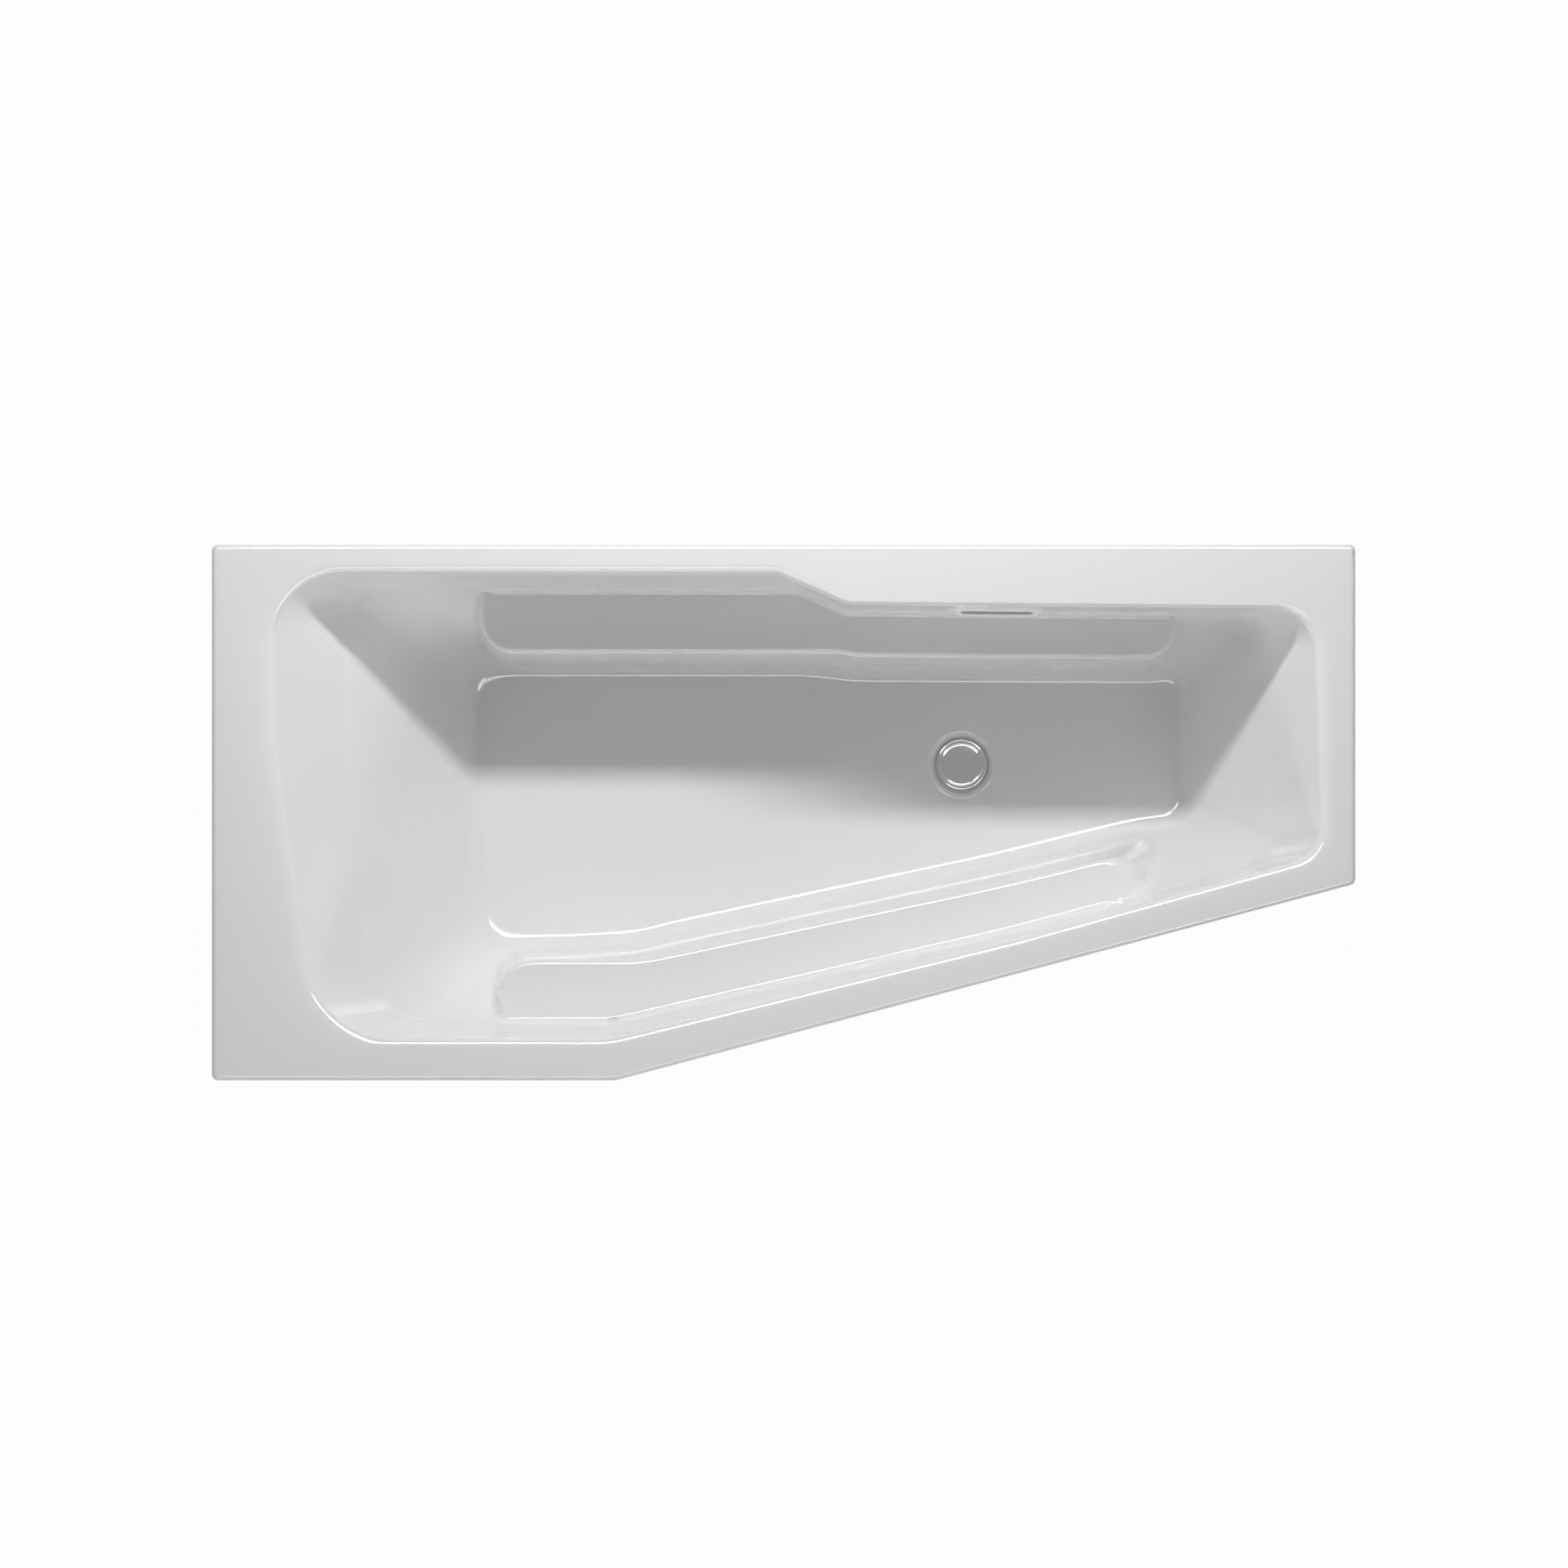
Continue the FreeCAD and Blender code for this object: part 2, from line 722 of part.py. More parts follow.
def front_rest_outline(depth, rounded, fall):
    """The ledge along the front and slanted walls, as an outline that runs out past the wall."""
    head, foot = OUTER["head_front"].x, OUTER["foot_front"].x
    ends = plain("rest_round") * rounded - plain("rest_run_end") * fall
    start, stop = head + plain("rest_front_head_end") + ends, foot - plain("rest_front_foot_end") - ends
    slant = {name: rest_inset("rest_" + name, "rest_run_slant", rounded, fall, depth)
             for name in ("slant_foot", "slant_middle", "slant_head")}
    front = rest_inset("rest_front", "rest_run_front", rounded, fall, depth)
    edge, margin = plain("rim_slant_middle"), plain("overrun")
    start_line = (FreeCAD.Vector(start, -margin, 0), FreeCAD.Vector(start, margin, 0))
    stop_line = (FreeCAD.Vector(stop, margin, 0), FreeCAD.Vector(stop, -margin, 0))
    lines = [
        start_line,
        inside(OUTER["head_front"], OUTER["bend"], -front, -front),
        inside(OUTER["bend"], OUTER["slant_middle"], -slant["slant_head"], -slant["slant_middle"]),
        inside(OUTER["slant_middle"], OUTER["foot_front"], -slant["slant_middle"], -slant["slant_foot"]),
        stop_line,
        inside(OUTER["foot_front"], OUTER["bend"], edge, edge),
        inside(OUTER["bend"], OUTER["head_front"], edge, edge),
    ]
    radius = plain("rest_corner") - plain("rest_round") * rounded
    small = plain("corner_floor_foot") / 2
    radii = [small, radius, plain("bow_bend"), plain("bow_slant"), radius, small, small]
    return list(zip(corners_between(lines), radii))


def rest(outline, growth):
    """An arm ledge as a solid, shrunk and lowered where it shapes the underside of the shell."""
    top = float(RIM_TOP) - growth
    sections = [(grown(outline(*row), -growth), top - row[0]) for row in rest_levels()]
    deepest = sections[-1]
    sections.append((deepest[0], deepest[1] - plain("shell_wall") - plain("overrun")))
    return stacked(sections)


def waste_seat(growth):
    """The cone that the waste sits in, grown for the underside of the shell."""
    height = plain("seat_depth")
    level = float(RIM_TOP) - plain("inside_depth") - height - growth
    slope = (plain("seat_radius") - plain("seat_floor_radius")) / height
    centre = FreeCAD.Vector(float(WASTE_X), float(WASTE_Y), level)
    over = plain("overrun") if growth == 0 else 0
    bottom = plain("seat_floor_radius") + growth
    return Part.makeCone(bottom, bottom + slope * (height + over), height + over, centre)


def slot_centre():
    """The middle of the overflow slot, along the tub and above the floor."""
    along = plain("bath_length") / 2 - plain("slot_from_foot")
    return along, float(RIM_TOP) - plain("slot_drop")


def overflow_swelling():
    """The swelling in the back wall whose sloping face holds the overflow slot."""
    along, level = slot_centre()
    top, back = float(RIM_TOP), plain("bath_width") / 2
    half = plain("swell_length") / 2
    anchor = back - plain("rim_back_jog")
    sections = []
    for drop, out in (("swell_top_drop", 0), ("swell_full_drop", 1), ("ledge_depth", 1)):
        keys = RIM_KEYS["back_jog"]
        wall = back - inset_at(keys, plain(drop))
        face = wall - plain("swell_out") * out * (1 if drop == "swell_full_drop" else 0)
        side = plain("swell_side")
        outline = [FreeCAD.Vector(along - half - side, anchor, top - plain(drop)),
                   FreeCAD.Vector(along + half + side, anchor, top - plain(drop)),
                   FreeCAD.Vector(along + half, face, top - plain(drop)),
                   FreeCAD.Vector(along - half, face, top - plain(drop))]
        sections.append(Part.makePolygon(outline + outline[:1]))
    return Part.makeLoft(sections, True, True)


def overflow_boss():
    """The flat pad behind the back wall that the overflow housing seals against."""
    along, level = slot_centre()
    back = plain("bath_width") / 2
    face = back - plain("boss_face")
    depth = plain("ledge_back_jog") - plain("boss_face")
    corner = FreeCAD.Vector(along - plain("boss_length") / 2, face - depth, level - plain("boss_height") / 2)
    return Part.makeBox(plain("boss_length"), depth, plain("boss_height"), corner)


def overflow_slot():
    """The cutter of the overflow slot, with round ends."""
    along, level = slot_centre()
    radius = plain("slot_height") / 2
    half = plain("slot_length") / 2 - radius
    start = plain("bath_width") / 2 - plain("ledge_back_jog") - plain("swell_out")
    reach = plain("bath_width") / 2 - plain("boss_face") - start + plain("overrun")
    back = FreeCAD.Vector(0, 1, 0)
    middle = Part.makeBox(2 * half, reach, 2 * radius, FreeCAD.Vector(along - half, start, level - radius))
    ends = [Part.makeCylinder(radius, reach, FreeCAD.Vector(along + side * half, start, level), back)
            for side in (-1, 1)]
    return middle.fuse(ends)


def overflow_screw_holes():
    """The cutters of the blind holes that the overflow's screws bite into."""
    along, level = slot_centre()
    reach = plain("overflow_flange_length") / 2 - plain("overflow_screw_inset")
    start = plain("bath_width") / 2 - plain("boss_face") - plain("overflow_screw_bite")
    radius, depth = plain("overflow_screw_radius") + plain("neck_play"), plain("overflow_screw_bite")
    return [Part.makeCylinder(radius, depth + plain("overrun"), FreeCAD.Vector(along + side, start, level),
                              FreeCAD.Vector(0, 1, 0)) for side in (-reach, reach)]


def outer_outline(growth=0):
    """The tub's own outline seen from above, with its lip corners."""
    names = ["head_back", "foot_back", "foot_front", "bend", "head_front"]
    return grown([(OUTER[name], plain("lip_corner")) for name in names], growth)


LIP_SHARES = [(0, 1), (0.1, 0.56), (0.29, 0.29), (0.56, 0.1), (1, 0)]


def rim_slab():
    """The flat rim with its rounded edge and its turned-down lip."""
    top, lip, wall = float(RIM_TOP), plain("lip_height"), plain("shell_wall")
    round_radius = plain("lip_round")
    sections = [(outer_outline(-round_radius * inset), top - round_radius * drop)
                for drop, inset in LIP_SHARES]
    sections.append((outer_outline(), top - lip))
    slab = stacked(sections)
    hollow = stacked([(outer_outline(-wall), top - wall), (outer_outline(-wall), top - lip - plain("overrun"))])
    return slab.cut(hollow)


def make_shell():
    """The acrylic shell: rim, basin walls, arm ledges, floor, waste seat and overflow slot."""
    wall, overrun = plain("shell_wall"), plain("overrun")
    outside = basin(wall, wall / 2).cut([rest(back_rest_outline, wall), rest(front_rest_outline, wall)])
    hollow = basin(0, overrun).cut([rest(back_rest_outline, 0), rest(front_rest_outline, 0)])
    outside = outside.fuse([waste_seat(wall), rim_slab(), overflow_boss()])
    hollow = hollow.fuse(waste_seat(0)).cut(overflow_swelling())
    hole_low = FreeCAD.Vector(float(WASTE_X), float(WASTE_Y), float(SEAT_UNDER) - overrun)
    hole = Part.makeCylinder(plain("waste_hole_radius"), wall + 2 * overrun, hole_low)
    return outside.cut([hollow, hole, overflow_slot()] + overflow_screw_holes())


def add_shell():
    """Add the shell to the document."""
    shell = DOC.addObject("Part::Feature", "tub_shell")
    shell.Label = "tub_shell"
    shell.Shape = make_shell()
    return shell


add_shell()


# Timber: the board under the bathing floor, and the battens under the rim

def add_board():
    """The chipboard panel bonded under the bathing floor, with a hole around the waste."""
    margin = s.board_margin
    half_length, half_width = s.bath_length / 2, s.bath_width / 2
    left = -half_length + s.floor_head_front + margin
    right = half_length - s.floor_foot_back - margin
    back = half_width - s.floor_back_foot - margin
    front = -half_width + s.floor_front + margin
    right_front = slant_edge(half_length - right) + s.floor_slant_foot + margin
    corners = [(left, front), (left, back), (right, back), (right, right_front),
               (s.head_straight - half_length, front)]
    body = new_body("base_board")
    raised(body, lambda sketch: draw_outline(sketch, corners), s.board_thickness)
    raised(body, lambda sketch: draw_circle(sketch, s.board_hole_radius, WASTE_X, WASTE_Y),
           s.board_thickness, cut=True, away=True)
    for x, y in screw_places():
        raised(body, lambda sketch, x=x, y=y: draw_circle(sketch, s.screw_radius + s.screw_pilot_play, x, y),
               s.screw_length - s.rail_wall, cut=True, away=True)
    place(body, z=BOARD_UNDER)


def rail_places():
    """Each cross rail with its place along the tub and the places of its two feet."""
    half_length, half_width = s.bath_length / 2, s.bath_width / 2
    head = ("head", s.head_rail_from_head - half_length,
            half_width - s.head_rail_back_foot, s.head_rail_front_foot - half_width)
    foot = ("foot", half_length - s.foot_rail_from_foot,
            half_width - s.foot_rail_back_foot, slant_edge(s.foot_rail_from_foot) + s.foot_rail_front_foot)
    return [head, foot]


def screw_places():
    """The places of the screws that hold the rails to the board."""
    places = []
    for name, x, back, front in rail_places():
        for y in (back - s.screw_inset, front + s.screw_inset):
            places += [(x + s.screw_spread / 2, y), (x - s.screw_spread / 2, y)]
    return places


add_board()


def add_batten(label, length, wide, x, y, turn=None):
    """A timber batten under the rim, centred on its place."""
    body = new_body(label)
    raised(body, lambda sketch: draw_rectangle(sketch, length, wide), s.batten_height)
    place(body, x, y, RIM_TOP - s.shell_wall - s.batten_height)
    if turn:
        body.Placement.Rotation = FreeCAD.Rotation(FreeCAD.Vector(0, 0, 1), turn[0])
        body.setExpression("Placement.Rotation.Angle", turn[1])


def add_battens():
    """The battens behind the lip: one along each straight edge of the rim."""
    half_length, half_width = s.bath_length / 2, s.bath_width / 2
    setback = s.shell_wall + s.batten_gap
    ends = s.batten_end_gap * 2
    bend = s.head_straight - half_length
    foot_front = half_width - s.foot_end_width
    add_batten("back_batten", s.bath_length - ends, s.batten_back, 0, half_width - setback - s.batten_back / 2)
    add_batten("front_batten", s.head_straight - ends, s.batten_front,
               s.head_straight / 2 - half_length, -half_width + setback + s.batten_front / 2)
    add_batten("head_batten", s.batten_head, s.bath_width - ends, -half_length + setback + s.batten_head / 2, 0)
    add_batten("foot_batten", s.batten_foot, s.foot_end_width - ends,
               half_length - setback - s.batten_foot / 2, half_width - s.foot_end_width / 2)
    run, rise = s.bath_length - s.head_straight, s.bath_width - s.foot_end_width
    angle = math.degrees(math.atan2(float(rise), float(run)))
    span = math.hypot(float(rise), float(run))
    slant = Size(span, f"sqrt({rise.formula} * {rise.formula} + {run.formula} * {run.formula})")
    turn = (angle, f"atan2({rise.formula}; {run.formula})")
    reach = setback + s.batten_slant / 2
    x = (half_length + bend) / 2 - reach * rise / slant
    y = (foot_front - half_width) / 2 + reach * run / slant
    add_batten("slant_batten", slant - ends, s.batten_slant, x, y, turn)


add_battens()


# Steel rails, screws and adjustable feet

def add_rails():
    """The two channel rails, each with holes for its feet and its screws."""
    for name, x, back, front in rail_places():
        body = new_body(f"{name}_rail")
        half, wall = s.rail_width / 2, s.rail_wall
        profile = [(-half, 0), (-half, s.rail_height), (half, s.rail_height), (half, 0), (half - wall, 0),
                   (half - wall, s.rail_height - wall), (wall - half, s.rail_height - wall), (wall - half, 0)]
        length = back - front + s.rail_end * 2
        raised(body, lambda sketch: draw_outline(sketch, profile), length, role="XZ_Plane")
        local = {"back": -s.rail_end, "front": -(length - s.rail_end)}
        for y in local.values():
            raised(body, lambda sketch, y=y: draw_circle(sketch, s.rod_radius + s.rod_hole_play, 0, y),
                   s.rail_height + s.overrun, cut=True, away=True)
        for y in (local["back"] - s.screw_inset, local["front"] + s.screw_inset):
            for side in (s.screw_spread / 2, -s.screw_spread / 2):
                raised(body, lambda sketch, side=side, y=y: draw_circle(
                    sketch, s.screw_radius + s.screw_play, side, y),
                    s.rail_height + s.overrun, cut=True, away=True)
        place(body, x, back + s.rail_end, BOARD_UNDER - s.rail_height)


add_rails()


def gathered(label, pieces):
    """One node of separate equal pieces."""
    group = DOC.addObject("Part::Compound", label)
    group.Label = label
    group.Links = pieces
    return group


def add_screws():
    """The pan-head screws that hold the rails under the board."""
    screws = []
    profile = [(0, 0), (s.screw_head_radius, 0), (s.screw_head_radius, s.screw_head_height),
               (s.screw_radius, s.screw_head_height), (s.screw_radius, s.screw_head_height + s.screw_length),
               (0, s.screw_head_height + s.screw_length)]
    for index, (x, y) in enumerate(screw_places(), start=1):
        screws.append(turned(f"rail_screw_{index}", profile, x, y, RAIL_WEB_UNDER - s.screw_head_height))
    gathered("rail_screws", screws)


add_screws()


def foot_places():
    """The name and place of each adjustable foot."""
    places = []
    for name, x, back, front in rail_places():
        places += [(f"{name}_back", x, back), (f"{name}_front", x, front)]
    return places


def add_nut(label, x, y, z):
    """A hexagon nut around a foot rod."""
    body = new_body(label)
    raised(body, lambda sketch: draw_hexagon(sketch, s.nut_flats), s.nut_height)
    raised(body, lambda sketch: draw_circle(sketch, s.rod_radius + s.rod_play), s.nut_height,
           cut=True, away=True)
    return place(body, x, y, z)


def add_feet():
    """The four feet: a pad and a threaded rod each, with a welded nut and a lock nut on the rail."""
    rod_length = BOARD_UNDER + s.nut_height + s.rod_above_nut - s.pad_base
    weld_nuts, lock_nuts = [], []
    for name, x, y in foot_places():
        pad = [(0, 0), (s.pad_radius - s.pad_chamfer, 0), (s.pad_radius, s.pad_chamfer),
               (s.pad_radius, s.pad_edge), (s.pad_collar_radius + s.pad_chamfer, s.pad_height - s.pad_chamfer),
               (s.pad_collar_radius, s.pad_height), (s.rod_radius + s.rod_play, s.pad_height),
               (s.rod_radius + s.rod_play, s.pad_base), (0, s.pad_base)]
        turned(f"foot_pad_{name}", pad, x, y)
        rod = new_body(f"foot_rod_{name}")
        tip = s.rod_radius - s.rod_chamfer
        spin(rod, [(0, 0), (tip, 0), (s.rod_radius, s.rod_chamfer), (s.rod_radius, rod_length - s.rod_chamfer),
                   (tip, rod_length), (0, rod_length)])
        raised(rod, lambda sketch: draw_hexagon(sketch, s.rod_hex_flats), s.rod_hex_height,
               offset=s.pad_height - s.pad_base + s.rod_hex_gap)
        place(rod, x, y, s.pad_base)
        weld_nuts.append(add_nut(f"weld_nut_{name}", x, y, RAIL_WEB_UNDER - s.nut_height))
        lock_nuts.append(add_nut(f"lock_nut_{name}", x, y, BOARD_UNDER))
    gathered("weld_nuts", weld_nuts)
    gathered("lock_nuts", lock_nuts)


add_feet()


# Waste: flange, plug and seals

FLANGE_UNDER = SEAT_FLOOR + s.seal_thickness
FLANGE_TOP = FLANGE_UNDER + s.flange_height
SPOKE_UNDER = FLANGE_UNDER - s.throat_length


def ring(label, inner, outer, height, z, x=WASTE_X, y=WASTE_Y):
    """A flat ring, such as a seal."""
    return turned(label, [(inner, 0), (outer, 0), (outer, height), (inner, height)], x, y, z)


def add_flange():
    """The chrome flange: a dished ring in the seat, with a throat and a spoked hub for the plug."""
    body = new_body("waste_flange")
    low = s.throat_length
    spin(body, [(s.flange_bore, 0), (s.flange_throat, 0), (s.flange_throat, low), (s.flange_radius, low),
                (s.flange_radius, low + s.flange_height - s.flange_bevel),
                (s.flange_radius - s.flange_bevel, low + s.flange_height),
                (s.flange_land, low + s.flange_height), (s.flange_land, low + s.flange_dish),
                (s.flange_bore, low + s.flange_dish)])
    half = s.spoke_width / 2
    reach = (s.flange_bore + s.flange_throat) / 2
    bars = ([(-reach, -half), (reach, -half), (reach, half), (-reach, half)],
            [(-half, -reach), (half, -reach), (half, reach), (-half, reach)])
    for bar in bars:
        raised(body, lambda sketch, bar=bar: draw_outline(sketch, bar), s.spoke_height)
    raised(body, lambda sketch: draw_circle(sketch, s.hub_radius), s.spoke_height)
    place(body, WASTE_X, WASTE_Y, SPOKE_UNDER)


CROWN_SHARES = [(0.97, 0.25), (0.85, 0.45), (0.65, 0.68), (0.4, 0.88)]


def add_plug():
    """The push plug: a domed cap with a rubber seal and a stem that slides in a guide on the hub."""
    cap_under = FLANGE_TOP + s.cap_over_flange
    land = FLANGE_UNDER + s.flange_dish
    rim, crown = s.cap_edge, s.cap_edge + s.cap_crown
    cap_profile = [(0, 0), (s.cap_radius, 0), (s.cap_radius, rim)]
    cap_profile += [(s.cap_radius * across, rim + s.cap_crown * up) for across, up in CROWN_SHARES]
    cap_profile.append((0, crown))
    turned("plug_cap", cap_profile, WASTE_X, WASTE_Y, cap_under)
    seal_low = land + s.plug_seal_play
    ring("plug_seal", s.plug_seal_inner, s.plug_seal_outer, cap_under - seal_low, seal_low)
    guide_low = SPOKE_UNDER + s.spoke_height
    guide_top = guide_low + s.guide_length
    bore = s.stem_radius + s.stem_play
    turned("plug_guide", [(0, 0), (s.guide_radius, 0), (s.guide_radius, s.guide_length), (bore, s.guide_length),
                          (bore, s.guide_floor), (0, s.guide_floor)], WASTE_X, WASTE_Y, guide_low)
    stem_low = guide_top - s.stem_in_guide
    stem_length = cap_under - stem_low
    turned("plug_stem", [(0, 0), (s.stem_radius, 0), (s.stem_radius, stem_length), (0, stem_length)],
           WASTE_X, WASTE_Y, stem_low)
    add_spring(guide_low + s.guide_floor, stem_low)


def add_spring(low, high):
    """The coil spring under the stem, wound as a helix with its wire clear of the guide."""
    spring = DOC.addObject("Part::Feature", "plug_spring")
    spring.Label = "plug_spring"
    wire, radius, play = plain("spring_wire_radius"), plain("spring_coil_radius"), plain("spring_play")
    rise = float(high) - float(low) - 2 * (wire + play)
    helix = Part.makeHelix(rise / plain("spring_turns"), rise, radius)
    start = FreeCAD.Vector(radius, 0, 0)
    section = Part.Wire([Part.makeCircle(wire, start, FreeCAD.Vector(0, 1, 0))])
    coil = Part.Wire(helix).makePipeShell([section], True, False)
    spring.Shape = coil
    spring.Placement = FreeCAD.Placement(
        FreeCAD.Vector(float(WASTE_X), float(WASTE_Y), float(low) + wire + play), FreeCAD.Rotation())


def add_waste_seals():
    """The two rubber seals that the flange and the housing clamp against the shell."""
    ring("waste_upper_seal", s.seal_inner_radius, s.flange_radius, s.seal_thickness, SEAT_FLOOR)
    ring("waste_lower_seal", s.seal_inner_radius, s.housing_collar_radius - s.seal_thickness,
         s.under_seal_thickness, SEAT_UNDER - s.under_seal_thickness)


add_flange()
add_plug()
add_waste_seals()


# Drain: the housing under the shell, the trap and its outlet

COLLAR_TOP = SEAT_UNDER - s.under_seal_thickness
HOUSING_LOW = COLLAR_TOP - s.housing_height
INLET_LEVEL = COLLAR_TOP - s.inlet_drop
TAIL_LOW = HOUSING_LOW - s.tail_length
CUP_LOW = TAIL_LOW - s.cup_under_tail


def add_housing():
    """The waste housing: a chamber screwed up to the flange, with an overflow inlet and a tail pipe."""
    body = new_body("waste_housing")
    chamber, tail, wall = s.tail_length, s.tail_radius, s.housing_wall
    top = s.tail_length + s.housing_height
    spin(body, [(0, 0), (tail, 0), (tail, chamber), (s.housing_radius, chamber + wall * 2),
                (s.housing_radius, top - s.housing_collar), (s.housing_collar_radius, top - s.housing_collar),
                (s.housing_collar_radius, top), (0, top)])
    level = top - s.inlet_drop
    raised(body, lambda sketch: draw_circle(sketch, s.inlet_radius, 0, level), s.inlet_reach,
           role="XZ_Plane", away=True)
    bore, throat = s.housing_radius - wall, s.flange_throat + s.neck_play
    narrow = tail - s.tail_wall
    spin(body, [(0, 0), (narrow, 0), (narrow, chamber + wall), (bore, chamber + wall * 3),
                (bore, top - s.neck_length), (throat, top - s.neck_length), (throat, top), (0, top)],
         kind="PartDesign::Groove")
    raised(body, lambda sketch: draw_circle(sketch, s.inlet_radius - s.inlet_wall, 0, level), s.inlet_reach,
           role="XZ_Plane", cut=True)
    place(body, WASTE_X, WASTE_Y, TAIL_LOW)


def add_trap():
    """The trap: a cup around the tail pipe with a side outlet, and the outlet pipe in its socket."""
    cup, wall, top = s.cup_radius, s.cup_wall, s.cup_height
    inner = s.tail_radius + s.cup_play
    neck, shoulder = inner + wall, top - s.cup_neck
    socket = s.tail_radius + s.socket_play
    body = new_body("trap_cup")
    spin(body, [(0, 0), (cup - wall, 0), (cup, wall), (cup, shoulder - wall), (cup - wall, shoulder),
                (neck, shoulder), (neck, top), (0, top)])
    raised(body, lambda sketch: draw_circle(sketch, socket + wall, 0, s.outlet_height), s.outlet_reach,
           role="YZ_Plane")
    spin(body, [(0, wall), (cup - wall, wall), (cup - wall, shoulder - wall), (inner, shoulder - wall),
                (inner, top), (0, top)], kind="PartDesign::Groove")
    raised(body, lambda sketch: draw_circle(sketch, socket, 0, s.outlet_height), s.outlet_reach,
           role="YZ_Plane", cut=True, away=True)
    place(body, WASTE_X, WASTE_Y, CUP_LOW)
    pipe = new_body("outlet_pipe")
    held = s.outlet_pipe_in_socket + s.union_lip + s.outlet_pipe_gap
    raised(pipe, lambda sketch: draw_circle(sketch, s.tail_radius - s.outlet_pipe_step), held, role="YZ_Plane")
    raised(pipe, lambda sketch: draw_circle(sketch, s.tail_radius), s.outlet_pipe_free, role="YZ_Plane",
           offset=held)
    raised(pipe, lambda sketch: draw_circle(sketch, s.tail_radius - s.tail_wall), held + s.outlet_pipe_free,
           role="YZ_Plane", cut=True, away=True)
    place(pipe, WASTE_X + s.outlet_reach - s.outlet_pipe_in_socket, WASTE_Y, CUP_LOW + s.outlet_height)


def add_union(label, sleeve, mouth, role):
    """A union nut: a hexagon around a threaded sleeve, with a lip that closes in on the pipe."""
    body = new_body(label)
    raised(body, lambda sketch: draw_hexagon(sketch, s.union_flats), s.union_height, role=role)
    raised(body, lambda sketch: draw_circle(sketch, sleeve + s.union_play), s.union_height - s.union_lip,
           role=role, cut=True, away=True)
    raised(body, lambda sketch: draw_circle(sketch, mouth), s.union_height, role=role, cut=True, away=True)
    return body


def add_unions():
    """The union nuts on the trap: one around the tail pipe, one around the outlet."""
    mouth = s.tail_radius + s.cup_play
    top = CUP_LOW + s.cup_height
    place(add_union("trap_union", mouth + s.cup_wall, mouth, "XY_Plane"),
          WASTE_X, WASTE_Y, top - s.union_height + s.union_lip)
    place(add_union("outlet_union", s.tail_radius + s.socket_play + s.cup_wall, mouth, "YZ_Plane"),
          WASTE_X + s.outlet_reach - s.union_height + s.union_lip, WASTE_Y, CUP_LOW + s.outlet_height)


add_housing()
add_trap()
add_unions()


# Overflow: the housing behind the back wall, its seal and its pipe down to the waste housing

BOSS_FACE = s.bath_width / 2 - s.boss_face
SLOT_LEVEL = RIM_TOP - s.slot_drop
SLOT_X = s.bath_length / 2 - s.slot_from_foot
HOUSING_Y = BOSS_FACE + s.overflow_seal
SPOUT_Y = HOUSING_Y + s.overflow_depth / 2


def add_overflow():
    """The overflow housing with a flange at each end, and the seal between it and the back wall."""
    seal = new_body("overflow_seal")
    raised(seal, lambda sketch: draw_rectangle(sketch, s.overflow_flange_length, s.overflow_height),
           s.overflow_seal, role="XZ_Plane", away=True)
    raised(seal, lambda sketch: draw_rectangle(sketch, s.slot_length, s.slot_height * 2), s.overflow_seal,
           role="XZ_Plane", cut=True)
    place(seal, SLOT_X, BOSS_FACE, SLOT_LEVEL)
    box = new_body("overflow_housing")
    raised(box, lambda sketch: draw_rectangle(sketch, s.overflow_flange_length, s.overflow_height),
           s.overflow_flange, role="XZ_Plane", away=True)
    raised(box, lambda sketch: draw_rectangle(sketch, s.overflow_length, s.overflow_height),
           s.overflow_depth, role="XZ_Plane", away=True)
    spout_x, spout_y = WASTE_X - SLOT_X, s.overflow_depth / 2
    reach = s.overflow_height / 2 + s.spout_length
    raised(box, lambda sketch: draw_circle(sketch, s.inlet_radius, spout_x, spout_y), reach,
           role="XY_Plane", away=True)
    wall = s.overflow_wall
    raised(box, lambda sketch: draw_rectangle(sketch, s.overflow_length - wall * 2, s.overflow_height - wall * 2),
           s.overflow_depth - wall, role="XZ_Plane", cut=True)
    raised(box, lambda sketch: draw_circle(sketch, s.inlet_radius - s.inlet_wall, spout_x, spout_y), reach,
           role="XY_Plane", cut=True)
    for x in overflow_screw_places():
        for body, thickness in ((box, s.overflow_flange), (seal, s.overflow_seal)):
            raised(body, lambda sketch, x=x: draw_circle(sketch, s.overflow_screw_radius + s.overflow_screw_play, x),
                   thickness, role="XZ_Plane", cut=True)
    place(box, SLOT_X, HOUSING_Y, SLOT_LEVEL)


def overflow_screw_places():
    """The two places of the overflow's screws, from the middle of its slot."""
    reach = s.overflow_flange_length / 2 - s.overflow_screw_inset
    return [-reach, reach]


def add_overflow_screws():
    """The two screws that pull the overflow housing and its seal against the back wall."""
    screws = []
    shank = s.overflow_flange + s.overflow_seal + s.overflow_screw_bite
    for index, x in enumerate(overflow_screw_places(), start=1):
        body = new_body(f"overflow_screw_{index}")
        raised(body, lambda sketch: draw_circle(sketch, s.overflow_screw_radius), shank, role="XZ_Plane")
        raised(body, lambda sketch: draw_circle(sketch, s.overflow_screw_head), s.overflow_screw_head_height,
               role="XZ_Plane", away=True)
        screws.append(place(body, SLOT_X + x, HOUSING_Y + s.overflow_flange, SLOT_LEVEL))
    gathered("overflow_screws", screws)


